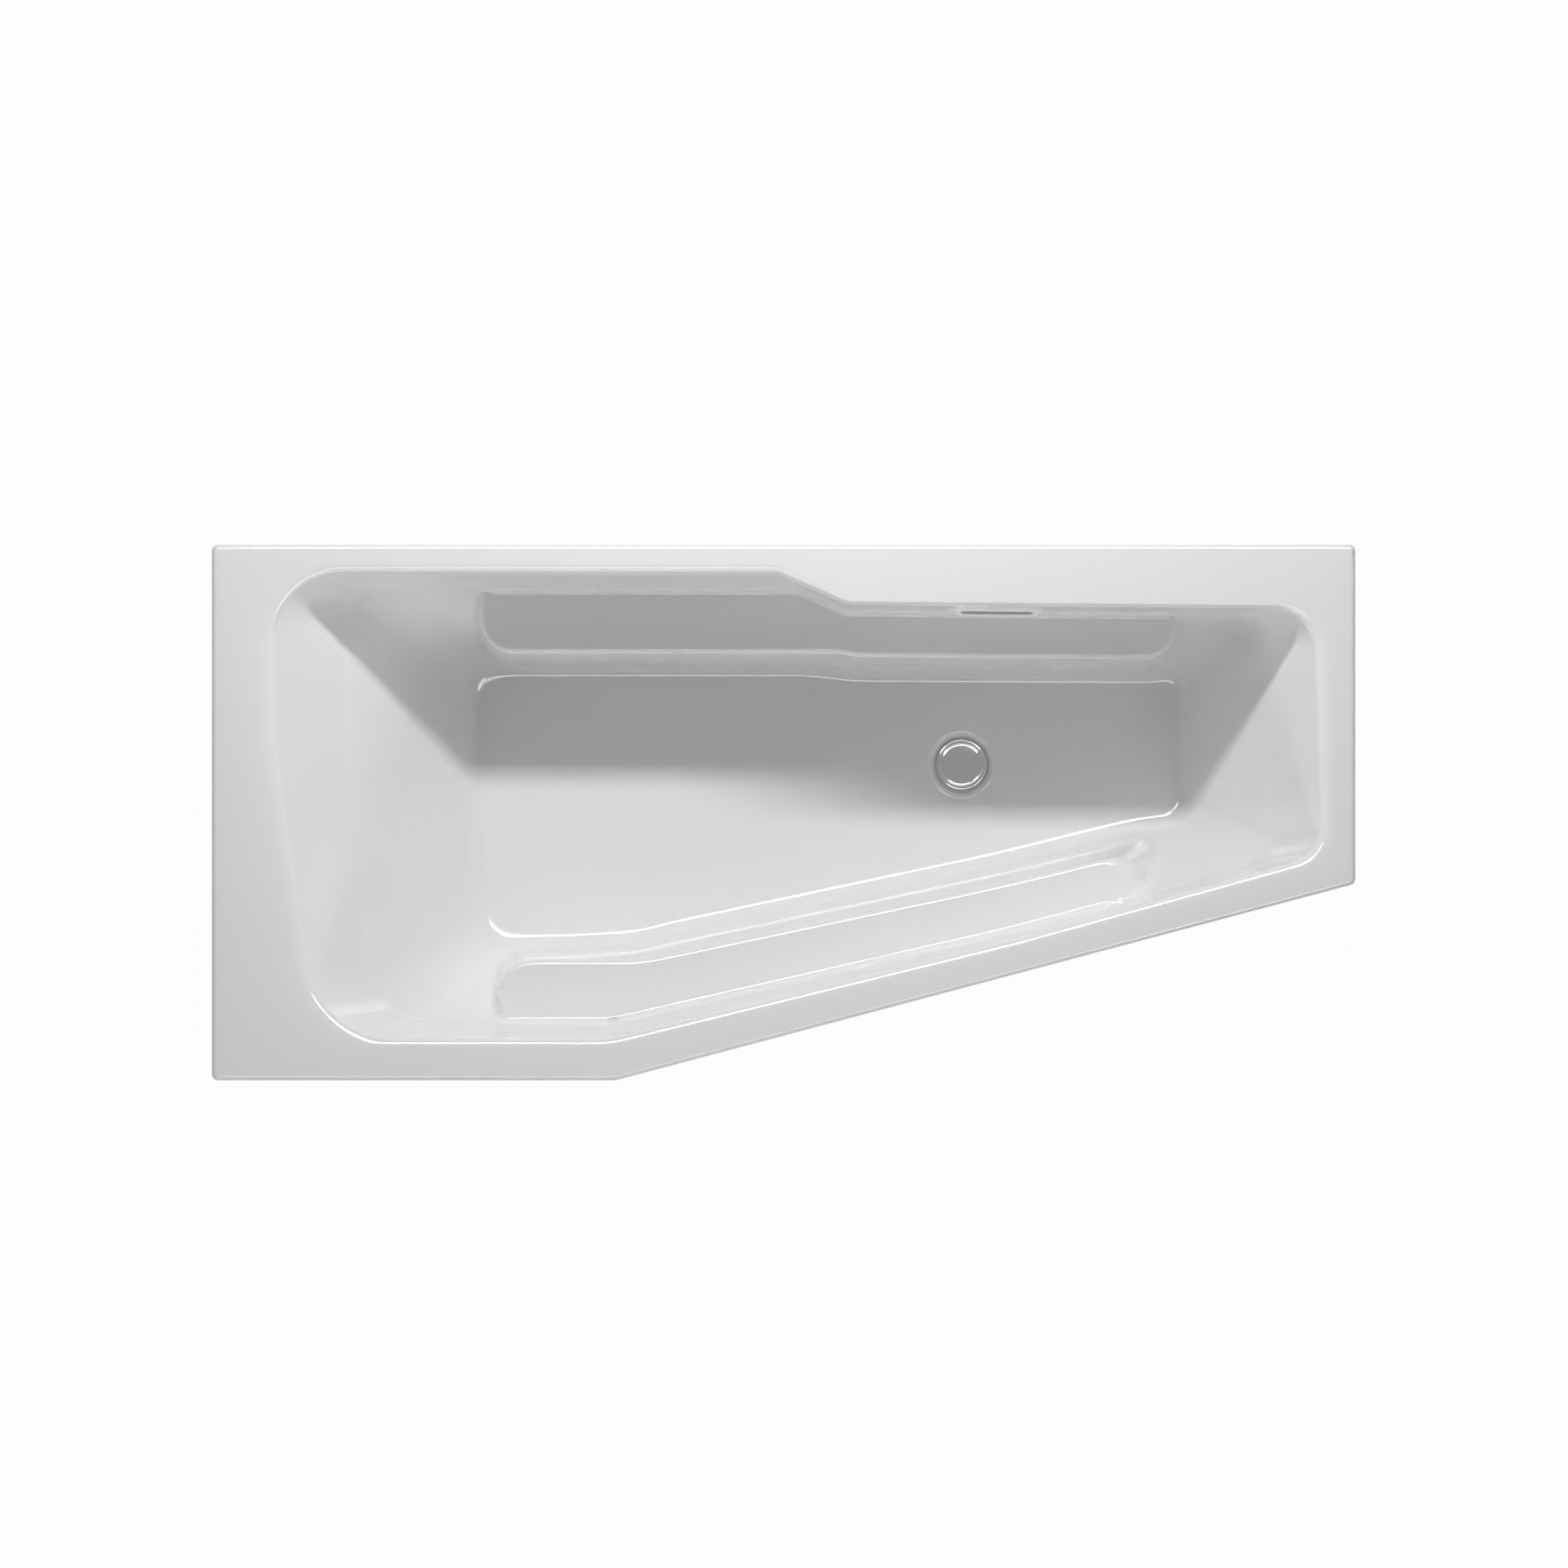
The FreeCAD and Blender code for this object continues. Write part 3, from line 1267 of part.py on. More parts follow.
def add_overflow_pipe():
    """The pipe from the overflow housing down and round to the waste housing, on one swept path."""
    spout_low = SLOT_LEVEL - s.overflow_height / 2 - s.spout_length
    start = FreeCAD.Vector(float(WASTE_X), float(SPOUT_Y), float(spout_low))
    inlet = FreeCAD.Vector(float(WASTE_X), float(WASTE_Y + s.inlet_reach), float(INLET_LEVEL))
    bend = plain("pipe_bend")
    corner = FreeCAD.Vector(start.x, start.y, inlet.z)
    bend_start = corner + FreeCAD.Vector(0, 0, bend)
    bend_end = corner - FreeCAD.Vector(0, bend, 0)
    centre = corner + FreeCAD.Vector(0, -bend, bend)
    middle = centre + FreeCAD.Vector(0, bend, -bend).normalize() * bend
    route = Part.Wire([Part.LineSegment(start, bend_start).toShape(),
                       Part.Arc(bend_start, middle, bend_end).toShape(),
                       Part.LineSegment(bend_end, inlet).toShape()])
    down = FreeCAD.Vector(0, 0, -1)
    outer_radius = plain("inlet_radius")
    rings = [Part.Wire([Part.makeCircle(radius, start, down)])
             for radius in (outer_radius, outer_radius - plain("inlet_wall"))]
    solids = [route.makePipeShell([wire], True, False) for wire in rings]
    pipe = DOC.addObject("Part::Feature", "overflow_pipe")
    pipe.Label = "overflow_pipe"
    pipe.Shape = solids[0].cut(solids[1])


def add_sleeves():
    """The rubber sleeves that join the overflow pipe to its two spouts."""
    spout_low = SLOT_LEVEL - s.overflow_height / 2 - s.spout_length
    profile = [(s.inlet_radius, 0), (s.sleeve_radius, 0), (s.sleeve_radius, s.sleeve_length),
               (s.inlet_radius, s.sleeve_length)]
    turned("upper_sleeve", profile, WASTE_X, SPOUT_Y, spout_low - s.sleeve_length / 2)
    body = new_body("lower_sleeve")
    raised(body, lambda sketch: draw_circle(sketch, s.sleeve_radius), s.sleeve_length, role="XZ_Plane", away=True)
    raised(body, lambda sketch: draw_circle(sketch, s.inlet_radius), s.sleeve_length, role="XZ_Plane", cut=True)
    place(body, WASTE_X, WASTE_Y + s.inlet_reach - s.sleeve_length / 2, INLET_LEVEL)


add_overflow()
add_overflow_screws()
add_overflow_pipe()
add_sleeves()


NODES = [
    "tub_shell", "base_board", "back_batten", "front_batten", "head_batten", "foot_batten", "slant_batten",
    "head_rail", "foot_rail", "rail_screws", "weld_nuts", "lock_nuts",
    "waste_flange", "waste_upper_seal", "waste_lower_seal",
    "plug_cap", "plug_seal", "plug_stem", "plug_guide", "plug_spring",
    "waste_housing", "trap_cup", "trap_union", "outlet_union", "outlet_pipe",
    "overflow_seal", "overflow_housing", "overflow_screws", "overflow_pipe", "upper_sleeve", "lower_sleeve",
] + [f"foot_{piece}_{name}" for name, x, y in foot_places() for piece in ("pad", "rod")]


def check_document():
    """Stop if any object failed to rebuild, or any sub-part has no valid shape."""
    DOC.recompute()
    failed = [obj.Name for obj in DOC.Objects if {"Invalid", "Error"} & set(obj.State)]
    for name in NODES:
        shape = DOC.getObjectsByLabel(name)[0].Shape
        if shape.isNull() or not shape.isValid() or not shape.Solids:
            failed.append(name)
    if failed:
        raise RuntimeError("Failed sub-parts: " + ", ".join(failed))


def write_parts():
    """Write each sub-part to its own file."""
    os.makedirs("parts", exist_ok=True)
    for name in NODES:
        shape = DOC.getObjectsByLabel(name)[0].Shape
        shape.exportStep(os.path.join("parts", f"{name}.step"))
        box = shape.BoundBox
        print(f"{name}: {len(shape.Solids)} solid, {shape.Volume / 1000:.1f} cm3, z {box.ZMin:.1f} to {box.ZMax:.1f}")


check_document()
write_parts()
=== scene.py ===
# %% [markdown]
# # A bathtub with a slanted front
# A bathtub of this kind starts as a flat sheet of white acrylic. It is heated, sucked into a mould and backed
# with glass fibre, and then timber, steel rails, feet and a drain are fitted under it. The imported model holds
# all of those pieces at their real places. This script gives them their finish, and makes the shell anew as
# one smooth surface, because a glossy tub is judged by how its highlights run.

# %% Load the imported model
import json
import math

import bmesh
import bpy
import numpy as np
from mathutils import Euler, Matrix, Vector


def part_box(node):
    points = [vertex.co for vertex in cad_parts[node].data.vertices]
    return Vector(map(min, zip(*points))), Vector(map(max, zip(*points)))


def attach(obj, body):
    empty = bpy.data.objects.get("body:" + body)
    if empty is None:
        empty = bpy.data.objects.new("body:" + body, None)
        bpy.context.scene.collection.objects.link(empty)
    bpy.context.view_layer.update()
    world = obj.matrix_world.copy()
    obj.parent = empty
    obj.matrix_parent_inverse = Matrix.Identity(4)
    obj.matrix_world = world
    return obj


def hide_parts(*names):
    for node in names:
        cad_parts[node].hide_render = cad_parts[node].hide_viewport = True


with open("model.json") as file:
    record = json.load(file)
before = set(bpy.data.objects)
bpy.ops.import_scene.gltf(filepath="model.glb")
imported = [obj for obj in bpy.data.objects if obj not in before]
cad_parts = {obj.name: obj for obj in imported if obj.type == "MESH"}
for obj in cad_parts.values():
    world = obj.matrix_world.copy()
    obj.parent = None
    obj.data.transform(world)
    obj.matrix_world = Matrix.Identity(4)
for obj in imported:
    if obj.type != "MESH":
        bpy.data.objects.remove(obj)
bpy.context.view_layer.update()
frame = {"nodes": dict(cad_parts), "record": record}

NODES = frame["nodes"]
MM = 0.001

# %% [markdown]
# ## Materials as sums
# A finish is a small machine: noise goes in, and colour, roughness and relief come out. Node trees could be
# wired by hand, but a sum such as `0.2 + 0.1 * grain` says more than a drawing of it. So one small class
# stands for a socket and adds a Math node for every sign that is written.

# %% A socket that can be added and multiplied
class Signal:
    """A value inside a material, held as the socket that gives it."""

    def __init__(self, tree, socket):
        self.tree = tree
        self.socket = socket

    def maths(self, operation, *others):
        """A Math node that takes this value first."""
        node = self.tree.nodes.new("ShaderNodeMath")
        node.operation = operation
        for place, item in enumerate((self, *others)):
            if isinstance(item, Signal):
                self.tree.links.new(item.socket, node.inputs[place])
            else:
                node.inputs[place].default_value = item
        return Signal(self.tree, node.outputs[0])

    def __add__(self, other):
        return self.maths("ADD", other)

    def __sub__(self, other):
        return self.maths("SUBTRACT", other)

    def __mul__(self, other):
        return self.maths("MULTIPLY", other)

    def __rsub__(self, other):
        return self.maths("MULTIPLY_ADD", -1.0, other)

    __radd__, __rmul__ = __add__, __mul__


class Finish:
    """A material or a sky that is being mixed."""

    prefix = "ShaderNode"

    def __init__(self, name, kind="materials"):
        self.material = getattr(bpy.data, kind).new(name)
        self.material.use_nodes = True
        self.tree = self.material.node_tree
        self.tree.nodes.clear()

    def node(self, kind, settings=None, sockets=None, output=0):
        """Add a node, make its settings, fill or link its sockets, and give one of its outputs."""
        made = self.tree.nodes.new(self.prefix + kind)
        for name, value in (settings or {}).items():
            if name == "stops":
                set_stops(made.color_ramp, value)
            else:
                setattr(made, name, value)
        for name, value in (sockets or {}).items():
            if isinstance(value, Signal):
                self.tree.links.new(value.socket, made.inputs[name])
            else:
                made.inputs[name].default_value = value
        return Signal(self.tree, made.outputs[output]) if made.outputs else None

    def place(self, turn=(0, 0, 0), size=(1, 1, 1)):
        """The place on the piece for a pattern that is turned, with the size of a cell in metres."""
        here = self.node("TexCoord", output="Object")
        sockets = {"Vector": here, "Rotation": turn, "Scale": size}
        return self.node("Mapping", {"vector_type": "TEXTURE"}, sockets)

    def noise(self, scale, detail=3.0, roughness=0.5, distortion=0.0, where=None):
        """Cloudy noise about half, with a given number of clouds to the metre."""
        return self.node("TexNoise", None, {"Vector": where or self.place(), "Scale": scale, "Detail": detail,
                                            "Roughness": roughness, "Distortion": distortion})

    def streaks(self, turn, cell, *how):
        """Noise that is turned and stretched to cells of a given size, with its detail and so on."""
        return self.noise(1.0, *how, where=self.place(turn, cell))

    def flakes(self, turn, cell):
        """One random shade for each cell of a given size."""
        sockets = {"Vector": self.place(turn, cell), "Scale": 1.0}
        shades = self.node("TexVoronoi", None, sockets, output="Color")
        return self.node("SeparateColor", None, {"Color": shades})

    def colours(self, factor, *stops):
        """Colours spread over a factor, each given as (place, (red, green, blue))."""
        return self.node("ValToRGB", {"stops": stops}, {"Fac": factor})

    def mixed(self, factor, first, second):
        """One colour changing to another with a factor."""
        return self.node("Mix", {"data_type": "RGBA"}, {0: factor, 6: rgb(*first), 7: rgb(*second)}, output=2)

    def relief(self, height, depth):
        """A surface relief of a given depth in metres."""
        return self.node("Bump", None, {"Strength": 1.0, "Distance": depth, "Height": height})

    def done(self, **sockets):
        """Finish the material with the shader's own sockets, by their names in small letters."""
        names = {name.replace("_", " ").title(): value for name, value in sockets.items()}
        if "Ior" in names:
            names["IOR"] = names.pop("Ior")
        shader = self.node("BsdfPrincipled", None, names)
        self.node("OutputMaterial", None, {"Surface": shader})
        return self.material


def set_stops(ramp, stops):
    """Fill a colour ramp with its stops."""
    while len(ramp.elements) < len(stops):
        ramp.elements.new(0.5)
    for element, (position, colour) in zip(ramp.elements, stops):
        element.position = position
        element.color = rgb(*colour)


def rgb(red, green, blue):
    """A colour with its alpha."""
    return (red, green, blue, 1.0)


# %% [markdown]
# ## Sanitary acrylic and its glass-fibre backing
# Cast acrylic is a white plastic right through, under a surface as smooth as glass. Only its gloss tells of
# the moulding: a breath of unevenness as from a sheet that was stretched warm. The back is sprayed with
# resin and chopped glass, which dries to a rough cream skin with short crossing fibres.

# %% Acrylic and backing
def acrylic():
    """White glossy acrylic, a little uneven from moulding."""
    paint = Finish("glossy_acrylic")
    waves, polish = paint.noise(9.0, 2.0), paint.noise(60.0, 4.0)
    shade = paint.mixed(waves, (0.925, 0.925, 0.925), (0.935, 0.935, 0.935))
    return paint.done(base_color=shade, roughness=0.05 + 0.04 * polish, ior=1.49,
                      normal=paint.relief(waves, 0.0001))


def glass_fibre():
    """Resin with chopped glass fibres, on the back of the shell."""
    paint = Finish("glass_fibre")
    one_way = paint.streaks((0.2, 0.1, 0.5), (0.040, 0.0022, 0.005))
    other_way = paint.streaks((0.4, 0.2, 2.1), (0.036, 0.0022, 0.005))
    fibres = one_way * other_way * 3.6
    blotches = paint.noise(14.0, 4.0)
    tone = paint.colours(fibres + 0.25 * blotches, (0.5, (0.60, 0.57, 0.47)), (0.85, (0.71, 0.69, 0.60)),
                         (1.0, (0.80, 0.79, 0.72)))
    return paint.done(base_color=tone, roughness=0.42 + 0.2 * blotches, normal=paint.relief(fibres, 0.0012))


ACRYLIC = acrylic()
GLASS_FIBRE = glass_fibre()
print("finishes so far:", ACRYLIC.name, GLASS_FIBRE.name)

# %% [markdown]
# ## The plan of the tub
# The shell is drawn like a mould maker draws it: as outlines seen from above. The outer edge has five
# straight sides, one of them slanted. Inside it, each wall of the basin is known by how far it stands from
# the outer edge: where the flat rim ends, where the roll ends, at the level of the arm ledges, and at the
# floor. Lengths here are in millimetres.

# %% The outer edge and the insets of the walls
low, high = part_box("tub_shell")
LENGTH, WIDTH = (high.x - low.x) / MM, (high.y - low.y) / MM
RIM_TOP = high.z / MM
HALF, BACK = LENGTH / 2, WIDTH / 2
FOOT_WIDTH = 475
HEAD_STRAIGHT = 565
SLANT_MIDDLE = 470
HEAD_BEND = 256
WALL = 5
ROLL_DROP = 14
LEDGE_DEPTH = 200
FLOOR_DEPTH = 430
FLOOR = RIM_TOP - FLOOR_DEPTH
# The jog of the back wall, measured from the foot end, at the rim and at the ledges
JOG_RIM = (811, 711)
JOG_LEDGE = (778, 715)

# Each end of a wall: where the rim ends, the roll's width and fullness, and the wall's inset at the ledges
# and at the floor
AT_LEDGES, AT_FLOOR = 3, 4
WALL_ENDS = {
    "back_left": (25, 16, 2.3, 66, 164),
    "back_jog": (75, 9, 2.3, 96, 175),
    "back_foot": (81, 9, 2.3, 103, 176),
    "foot_back": (38, 18, 2.6, 142, 245),
    "foot_front": (23, 18, 2.6, 128, 235),
    "slant_foot": (28, 24, 3.4, 62, 150),
    "slant_middle": (23, 24, 3.4, 62, 146),
    "slant_head": (34, 24, 3.4, 83, 170),
    "front": (34, 24, 3.4, 84, 184),
    "head_front": (40, 107, 3.2, 253, 389),
    "head_back": (35, 45, 3.2, 210, 360),
}
# Each corner in walking order: its steps, and its radius at the rim, at the end of the roll and at the ledges
CORNERS = {
    "head_back": (26, 118, 82, 32),
    "jog_start": (8, 28, 28, 28),
    "jog_end": (12, 60, 58, 32),
    "foot_back": (20, 66, 64, 32),
    "foot_front": (18, 55, 55, 60),
    "slant_middle": (5, 2500, 2500, 2500),
    "bend": (12, 160, 160, 160),
    "head_front": (28, 130, 125, 60),
    "head_middle": (6, 300, 300, 300),
}


def spot(x, y):
    """A point of the plan."""
    return np.array([x, y], float)


FOOT_FRONT_Y = BACK - FOOT_WIDTH
BEND_X = HEAD_STRAIGHT - HALF
slant_share = SLANT_MIDDLE / (HALF - BEND_X)
OUTER = {
    "head_back": spot(-HALF, BACK),
    "jog_start": spot(HALF - JOG_RIM[0], BACK),
    "jog_end": spot(HALF - JOG_RIM[1], BACK),
    "foot_back": spot(HALF, BACK),
    "foot_front": spot(HALF, FOOT_FRONT_Y),
    "slant_middle": spot(HALF - SLANT_MIDDLE, FOOT_FRONT_Y - (BACK + FOOT_FRONT_Y) * slant_share),
    "bend": spot(BEND_X, -BACK),
    "head_front": spot(-HALF, -BACK),
    "head_middle": spot(-HALF, BACK - HEAD_BEND),
}
# How far the heel of a side wall and of an end wall rounds out on the floor
HEEL_SIDE = 20
HEEL_END = 12
jog_shares = [(LENGTH - place) / LENGTH for place in JOG_LEDGE]
# Each wall in walking order: its outer edge, its ends as shares of that edge, and its heel
WALLS = [
    ("head_back", "foot_back", [(0, "back_left"), (jog_shares[0], "back_left"), (jog_shares[1], "back_jog"),
                                (1, "back_foot")], HEEL_SIDE),
    ("foot_back", "foot_front", [(0, "foot_back"), (1, "foot_front")], HEEL_END),
    ("foot_front", "slant_middle", [(0, "slant_foot"), (1, "slant_middle")], HEEL_SIDE),
    ("slant_middle", "bend", [(0, "slant_middle"), (1, "slant_head")], HEEL_SIDE),
    ("bend", "head_front", [(0, "front"), (1, "front")], HEEL_SIDE),
    ("head_front", "head_middle", [(0, "head_front"), (1, "head_back")], HEEL_END),
    ("head_middle", "head_back", [(0, "head_back"), (1, "head_back")], HEEL_END),
]
print(f"the tub is {LENGTH:.0f} by {WIDTH:.0f} mm, with its rim {RIM_TOP:.0f} mm above the floor")

# %% [markdown]
# ## Outlines with stations
# Every outline is walked the same way round and in the same number of steps, so that step 300 of one outline
# lies below step 300 of the next, and rows of faces can join them. Arcs get even steps. Straight stretches
# get close steps where an arm ledge ends or the overflow swells, and wide ones elsewhere.

# %% Lines, corners and rounded outlines
def unit(vector):
    """A direction of length one, or one for each row."""
    return vector / np.linalg.norm(vector, axis=-1, keepdims=True)


def inward(start, end):
    """The direction into the tub from an outer edge that is walked clockwise."""
    along = unit(end - start)
    return spot(along[1], -along[0])


def inset_line(start, end, first, second):
    """A line inside an outer edge, at its own distance from it at each end."""
    side = inward(OUTER[start], OUTER[end])
    return OUTER[start] + side * first, OUTER[end] + side * second


def crossing(first, second):
    """Where two lines meet."""
    along, across = first[1] - first[0], second[1] - second[0]
    share, _ = np.linalg.solve(np.stack([along, -across], 1), second[0] - first[0])
    return first[0] + along * share


def inset_at(end, depth):
    """How far the upper wall stands inside the outer edge at a depth below the rim."""
    rim, roll, fullness, ledge, _ = WALL_ENDS[end]
    rolled = min(depth / ROLL_DROP, 1)
    across = (1 - (1 - rolled) ** fullness) ** (1 / fullness)
    return rim + roll * across + (ledge - rim - roll) * depth / LEDGE_DEPTH


def rounded_corner(before, here, after, radius):
    """The start, end and centre of the arc in a corner."""
    back, forth = unit(before - here), unit(after - here)
    half = math.acos(np.clip(back @ forth, -1, 1)) / 2
    reach = radius / math.tan(half)
    return here + back * reach, here + forth * reach, here + unit(back + forth) * radius / math.sin(half)


def basin_arcs(depth):
    """The arcs in the nine corners of the basin's outline at a depth of the upper wall."""
    inset = {end: inset_at(end, depth) for end in WALL_ENDS}
    share = depth / LEDGE_DEPTH
    jog = [HALF - (rim + (ledge - rim) * share) for rim, ledge in zip(JOG_RIM, JOG_LEDGE)]
    jog_line = (spot(jog[0], BACK - inset["back_left"]), spot(jog[1], BACK - inset["back_jog"]))
    lines = [inset_line("head_back", "foot_back", inset["back_left"], inset["back_left"]), jog_line,
             (jog_line[1], OUTER["foot_back"] - spot(0, inset["back_foot"]))]
    lines += [inset_line(start, end, inset[first], inset[last])
              for start, end, ((_, first), (_, last)), _ in WALLS[1:]]
    points = [crossing(lines[index - 1], line) for index, line in enumerate(lines)]
    radii = [np.interp(depth, (0, ROLL_DROP, LEDGE_DEPTH), stages) for _, *stages in CORNERS.values()]
    return [rounded_corner(points[index - 1], points[index], points[(index + 1) % len(points)], radius)
            for index, radius in enumerate(radii)]


def arc_points(start, end, centre, count):
    """Even steps along an arc, without its last point."""
    first, last = start - centre, end - centre
    angle = math.acos(np.clip(unit(first) @ unit(last), -1, 1))
    swept = np.arange(count) / count * angle
    points = np.outer(np.sin(angle - swept), first) + np.outer(np.sin(swept), last)
    return centre + points / math.sin(angle)


# %% Steps along the outline
COARSE_STEP = 9.5
FINE_STEP = 2.4
FINE_REACH = 24
SAMPLES = 400
BACK_LEDGE = (-HALF + 378, HALF - 251)
FRONT_LEDGE = (-HALF + 404, HALF - 307)
LEDGE_END = 7
SLOT_X = HALF - 502
SWELL_HALF = 51
SWELL_SIDE = 23
START_DEPTH = 160


def steps_along(start, end, dense_at):
    """Shares of a straight stretch, closer together around some places along the tub."""
    places = np.linspace(start[0], end[0], SAMPLES)
    length = np.linalg.norm(end - start)
    density = np.full(SAMPLES, length / COARSE_STEP)
    for place in dense_at:
        density += (length / FINE_STEP - length / COARSE_STEP) * np.exp(-((places - place) / FINE_REACH) ** 2)
    total = np.concatenate([[0], np.cumsum((density[1:] + density[:-1]) / 2)]) / (SAMPLES - 1)
    count = max(round(total[-1]), 2)
    return np.interp(np.arange(count) / count * total[-1], total, np.linspace(0, 1, SAMPLES))


def plan_stretches():
    """The steps of each straight stretch, decided once on the outline at the foot of the upper wall."""
    arcs = basin_arcs(START_DEPTH)
    swelling = [SLOT_X - SWELL_HALF - SWELL_SIDE / 2, SLOT_X + SWELL_HALF + SWELL_SIDE / 2]
    dense = {0: [BACK_LEDGE[0] - LEDGE_END], 2: [BACK_LEDGE[1] + LEDGE_END] + swelling,
             4: [FRONT_LEDGE[1] + LEDGE_END], 6: [FRONT_LEDGE[0] - LEDGE_END]}
    return [steps_along(arc[1], arcs[(index + 1) % len(arcs)][0], dense.get(index, []))
            for index, arc in enumerate(arcs)]


STRETCHES = plan_stretches()
STATIONS = sum(steps for steps, *_ in CORNERS.values()) + sum(len(shares) for shares in STRETCHES)
print("stations around the tub:", STATIONS)


def walk(arcs):
    """All stations of an outline, from the (start, end, centre) of its nine arcs."""
    rows = []
    for index, ((start, end, centre), (count, *_)) in enumerate(zip(arcs, CORNERS.values())):
        if centre is None:
            rows.append(start + (end - start) * np.arange(count)[:, None] / count)
        else:
            rows.append(arc_points(start, end, centre, count))
        following = arcs[(index + 1) % len(arcs)][0]
        rows.append(end + (following - end) * STRETCHES[index][:, None])
    return np.concatenate(rows)


# %% [markdown]
# ## The lip and the rim
# The outer edge is sharp by comparison: a turned-down lip with a small round on top. Its outline has five
# real corners. The four other corners of the basin's outline are matched by short straight stretches, so
# that the stations still agree.

# %% The outer outline
LIP_CORNER = 9
LIP_ROUND = 6.5
LIP_HEIGHT = 40
STRAIGHT_REACH = 28


def outer_outline():
    """The stations of the tub's outer edge."""
    points = list(OUTER.values())
    arcs = []
    for index, (name, here) in enumerate(OUTER.items()):
        before, after = points[index - 1], points[(index + 1) % len(points)]
        if name in ("jog_start", "jog_end", "slant_middle", "head_middle"):
            arcs.append((*[here + unit(beside - here) * STRAIGHT_REACH for beside in (before, after)], None))
        else:
            arcs.append(rounded_corner(before, here, after, LIP_CORNER))
    return walk(arcs)


def normals_of(outline):
    """The inward direction at each station of an outline."""
    along = unit(np.roll(outline, -1, 0) - np.roll(outline, 1, 0))
    return np.stack([along[:, 1], -along[:, 0]], 1)


def ring(outline, level):
    """An outline lifted to a level above the floor of the room."""
    return np.column_stack([outline, np.broadcast_to(np.asarray(level, float), len(outline))])


def lip_rings():
    """The lip's outer face, its round and the start of the flat rim."""
    edge = outer_outline()
    side = normals_of(edge)
    rings = [ring(edge, RIM_TOP - LIP_HEIGHT)]
    for angle in np.radians([0, 18, 36, 54, 72, 90]):
        into, down = LIP_ROUND * (1 - math.cos(angle)), LIP_ROUND * (1 - math.sin(angle))
        rings.append(ring(edge + side * into, RIM_TOP - down))
    return rings


# %% [markdown]
# ## The upper wall and the overflow's swelling
# From the flat rim the wall rolls down and in. The roll at the sides is full, so it stays flat for long and
# then turns tightly, while the head end rolls softly over a hand's width for the neck. Behind the overflow
# slot the wall swells inwards by 9 mm, so that the slot sits in a face that looks down a little.

# %% Rings of the upper wall
SWELL_OUT = 9
SWELL_TOP = 55
SWELL_FULL = 95
ROLL_RINGS = 20
ROLL_CROWDING = 2.6
WALL_DEPTHS = [15, 17, 21, 27, 34, 42, 50, 56, 62, 68, 74, 80, 86, 91, 96, 102, 112, 128, 144, START_DEPTH]


def smooth(start, end, value):
    """A soft step from nought at the start to one at the end."""
    share = np.clip((value - start) / (end - start), 0, 1)
    return share * share * (3 - 2 * share)


def swelling(outline, depth):
    """How far the back wall swells inwards at each station."""
    beside = np.abs(outline[:, 0] - SLOT_X) - SWELL_HALF
    width = 1 - smooth(0, SWELL_SIDE, beside)
    falling = 1 - (depth - SWELL_FULL) / (LEDGE_DEPTH - SWELL_FULL)
    height = min(smooth(SWELL_TOP, SWELL_FULL, depth), max(falling, 0))
    return SWELL_OUT * width * height * (outline[:, 1] > 0)


def upper_ring(depth):
    """One ring of the upper wall."""
    outline = walk(basin_arcs(depth))
    outline[:, 1] -= swelling(outline, depth)
    return ring(outline, RIM_TOP - depth)


def upper_rings():
    """The roll of the rim and the upper wall."""
    turned = [step / ROLL_RINGS for step in range(ROLL_RINGS + 1)]
    roll = [ROLL_DROP * share ** ROLL_CROWDING for share in turned]
    return [upper_ring(depth) for depth in roll + WALL_DEPTHS]


# %% [markdown]
# ## Arm ledges, backrest and floor as one landscape
# Below the upper wall nothing overhangs, so the rest of the basin is a landscape with one depth for each
# point of the plan. At any level the free room is what all walls and both arm ledges leave, with its corners
# rounded, and the depth of a point is the level at which its room is used up. Halving finds that level for
# all points at once. A mould maker thinks the same way, in rounded outlines that shrink towards the floor.

# %% The room from the lower walls
HEEL_RISE = 20


def along_and_in(points, start, end):
    """How far points lie along an outer edge, as a share, and inside it."""
    first, last = OUTER[start], OUTER[end]
    offset, way = points - first, last - first
    return offset @ unit(way) / np.linalg.norm(way), offset @ inward(first, last)


def wall_rooms(points):
    """For each lower wall, a function that gives the points' room from it at a level."""

    def room_from(start, end, ends, heel):
        share, inside = along_and_in(points, start, end)
        places = [place for place, name in ends]
        ledge, floor = (np.interp(share, places, [WALL_ENDS[name][stage] for place, name in ends])
                        for stage in (AT_LEDGES, AT_FLOOR))
        return lambda sunk, eased: inside - ledge - (floor - ledge) * sunk - heel * eased

    return [room_from(*wall) for wall in WALLS]


def corner_room(first, second, radius):
    """The room in a corner between two walls, rounded to a radius."""
    across, along = np.maximum(radius - first, 0), np.maximum(radius - second, 0)
    return np.where((across > 0) | (along > 0), radius - np.hypot(across, along), np.minimum(first, second))


def soft_least(first, second, reach):
    """The lesser of two values, softened where they are closer than a reach."""
    gap = np.maximum(reach - np.abs(first - second), 0)
    return np.minimum(first, second) - gap ** 2 / (4 * reach)


# %% The arm ledges
LEDGE_TOP = LEDGE_DEPTH - WALL / 2
LEDGE_ROUND = 7
LEDGE_CORNER = 45
LEDGE_END_RUN = 14
FADING_RUN = 75
FADING_ROUND = 34
# Room where there is no ledge, and the least value that something is divided by
EMPTY, TINY = 1e3, 1e-9
# How far the back ledge's side stands inside the outer edge and how far its foot leans out, and then how far
# the ledge widens, first at the jog and again from there to the foot end
BACK_LEDGE_SIDE, BACK_LEDGE_RUN = 152, 16
LEDGE_WIDENS = 5
LEDGE_JOG = (70, 112)
JOG_END = 103
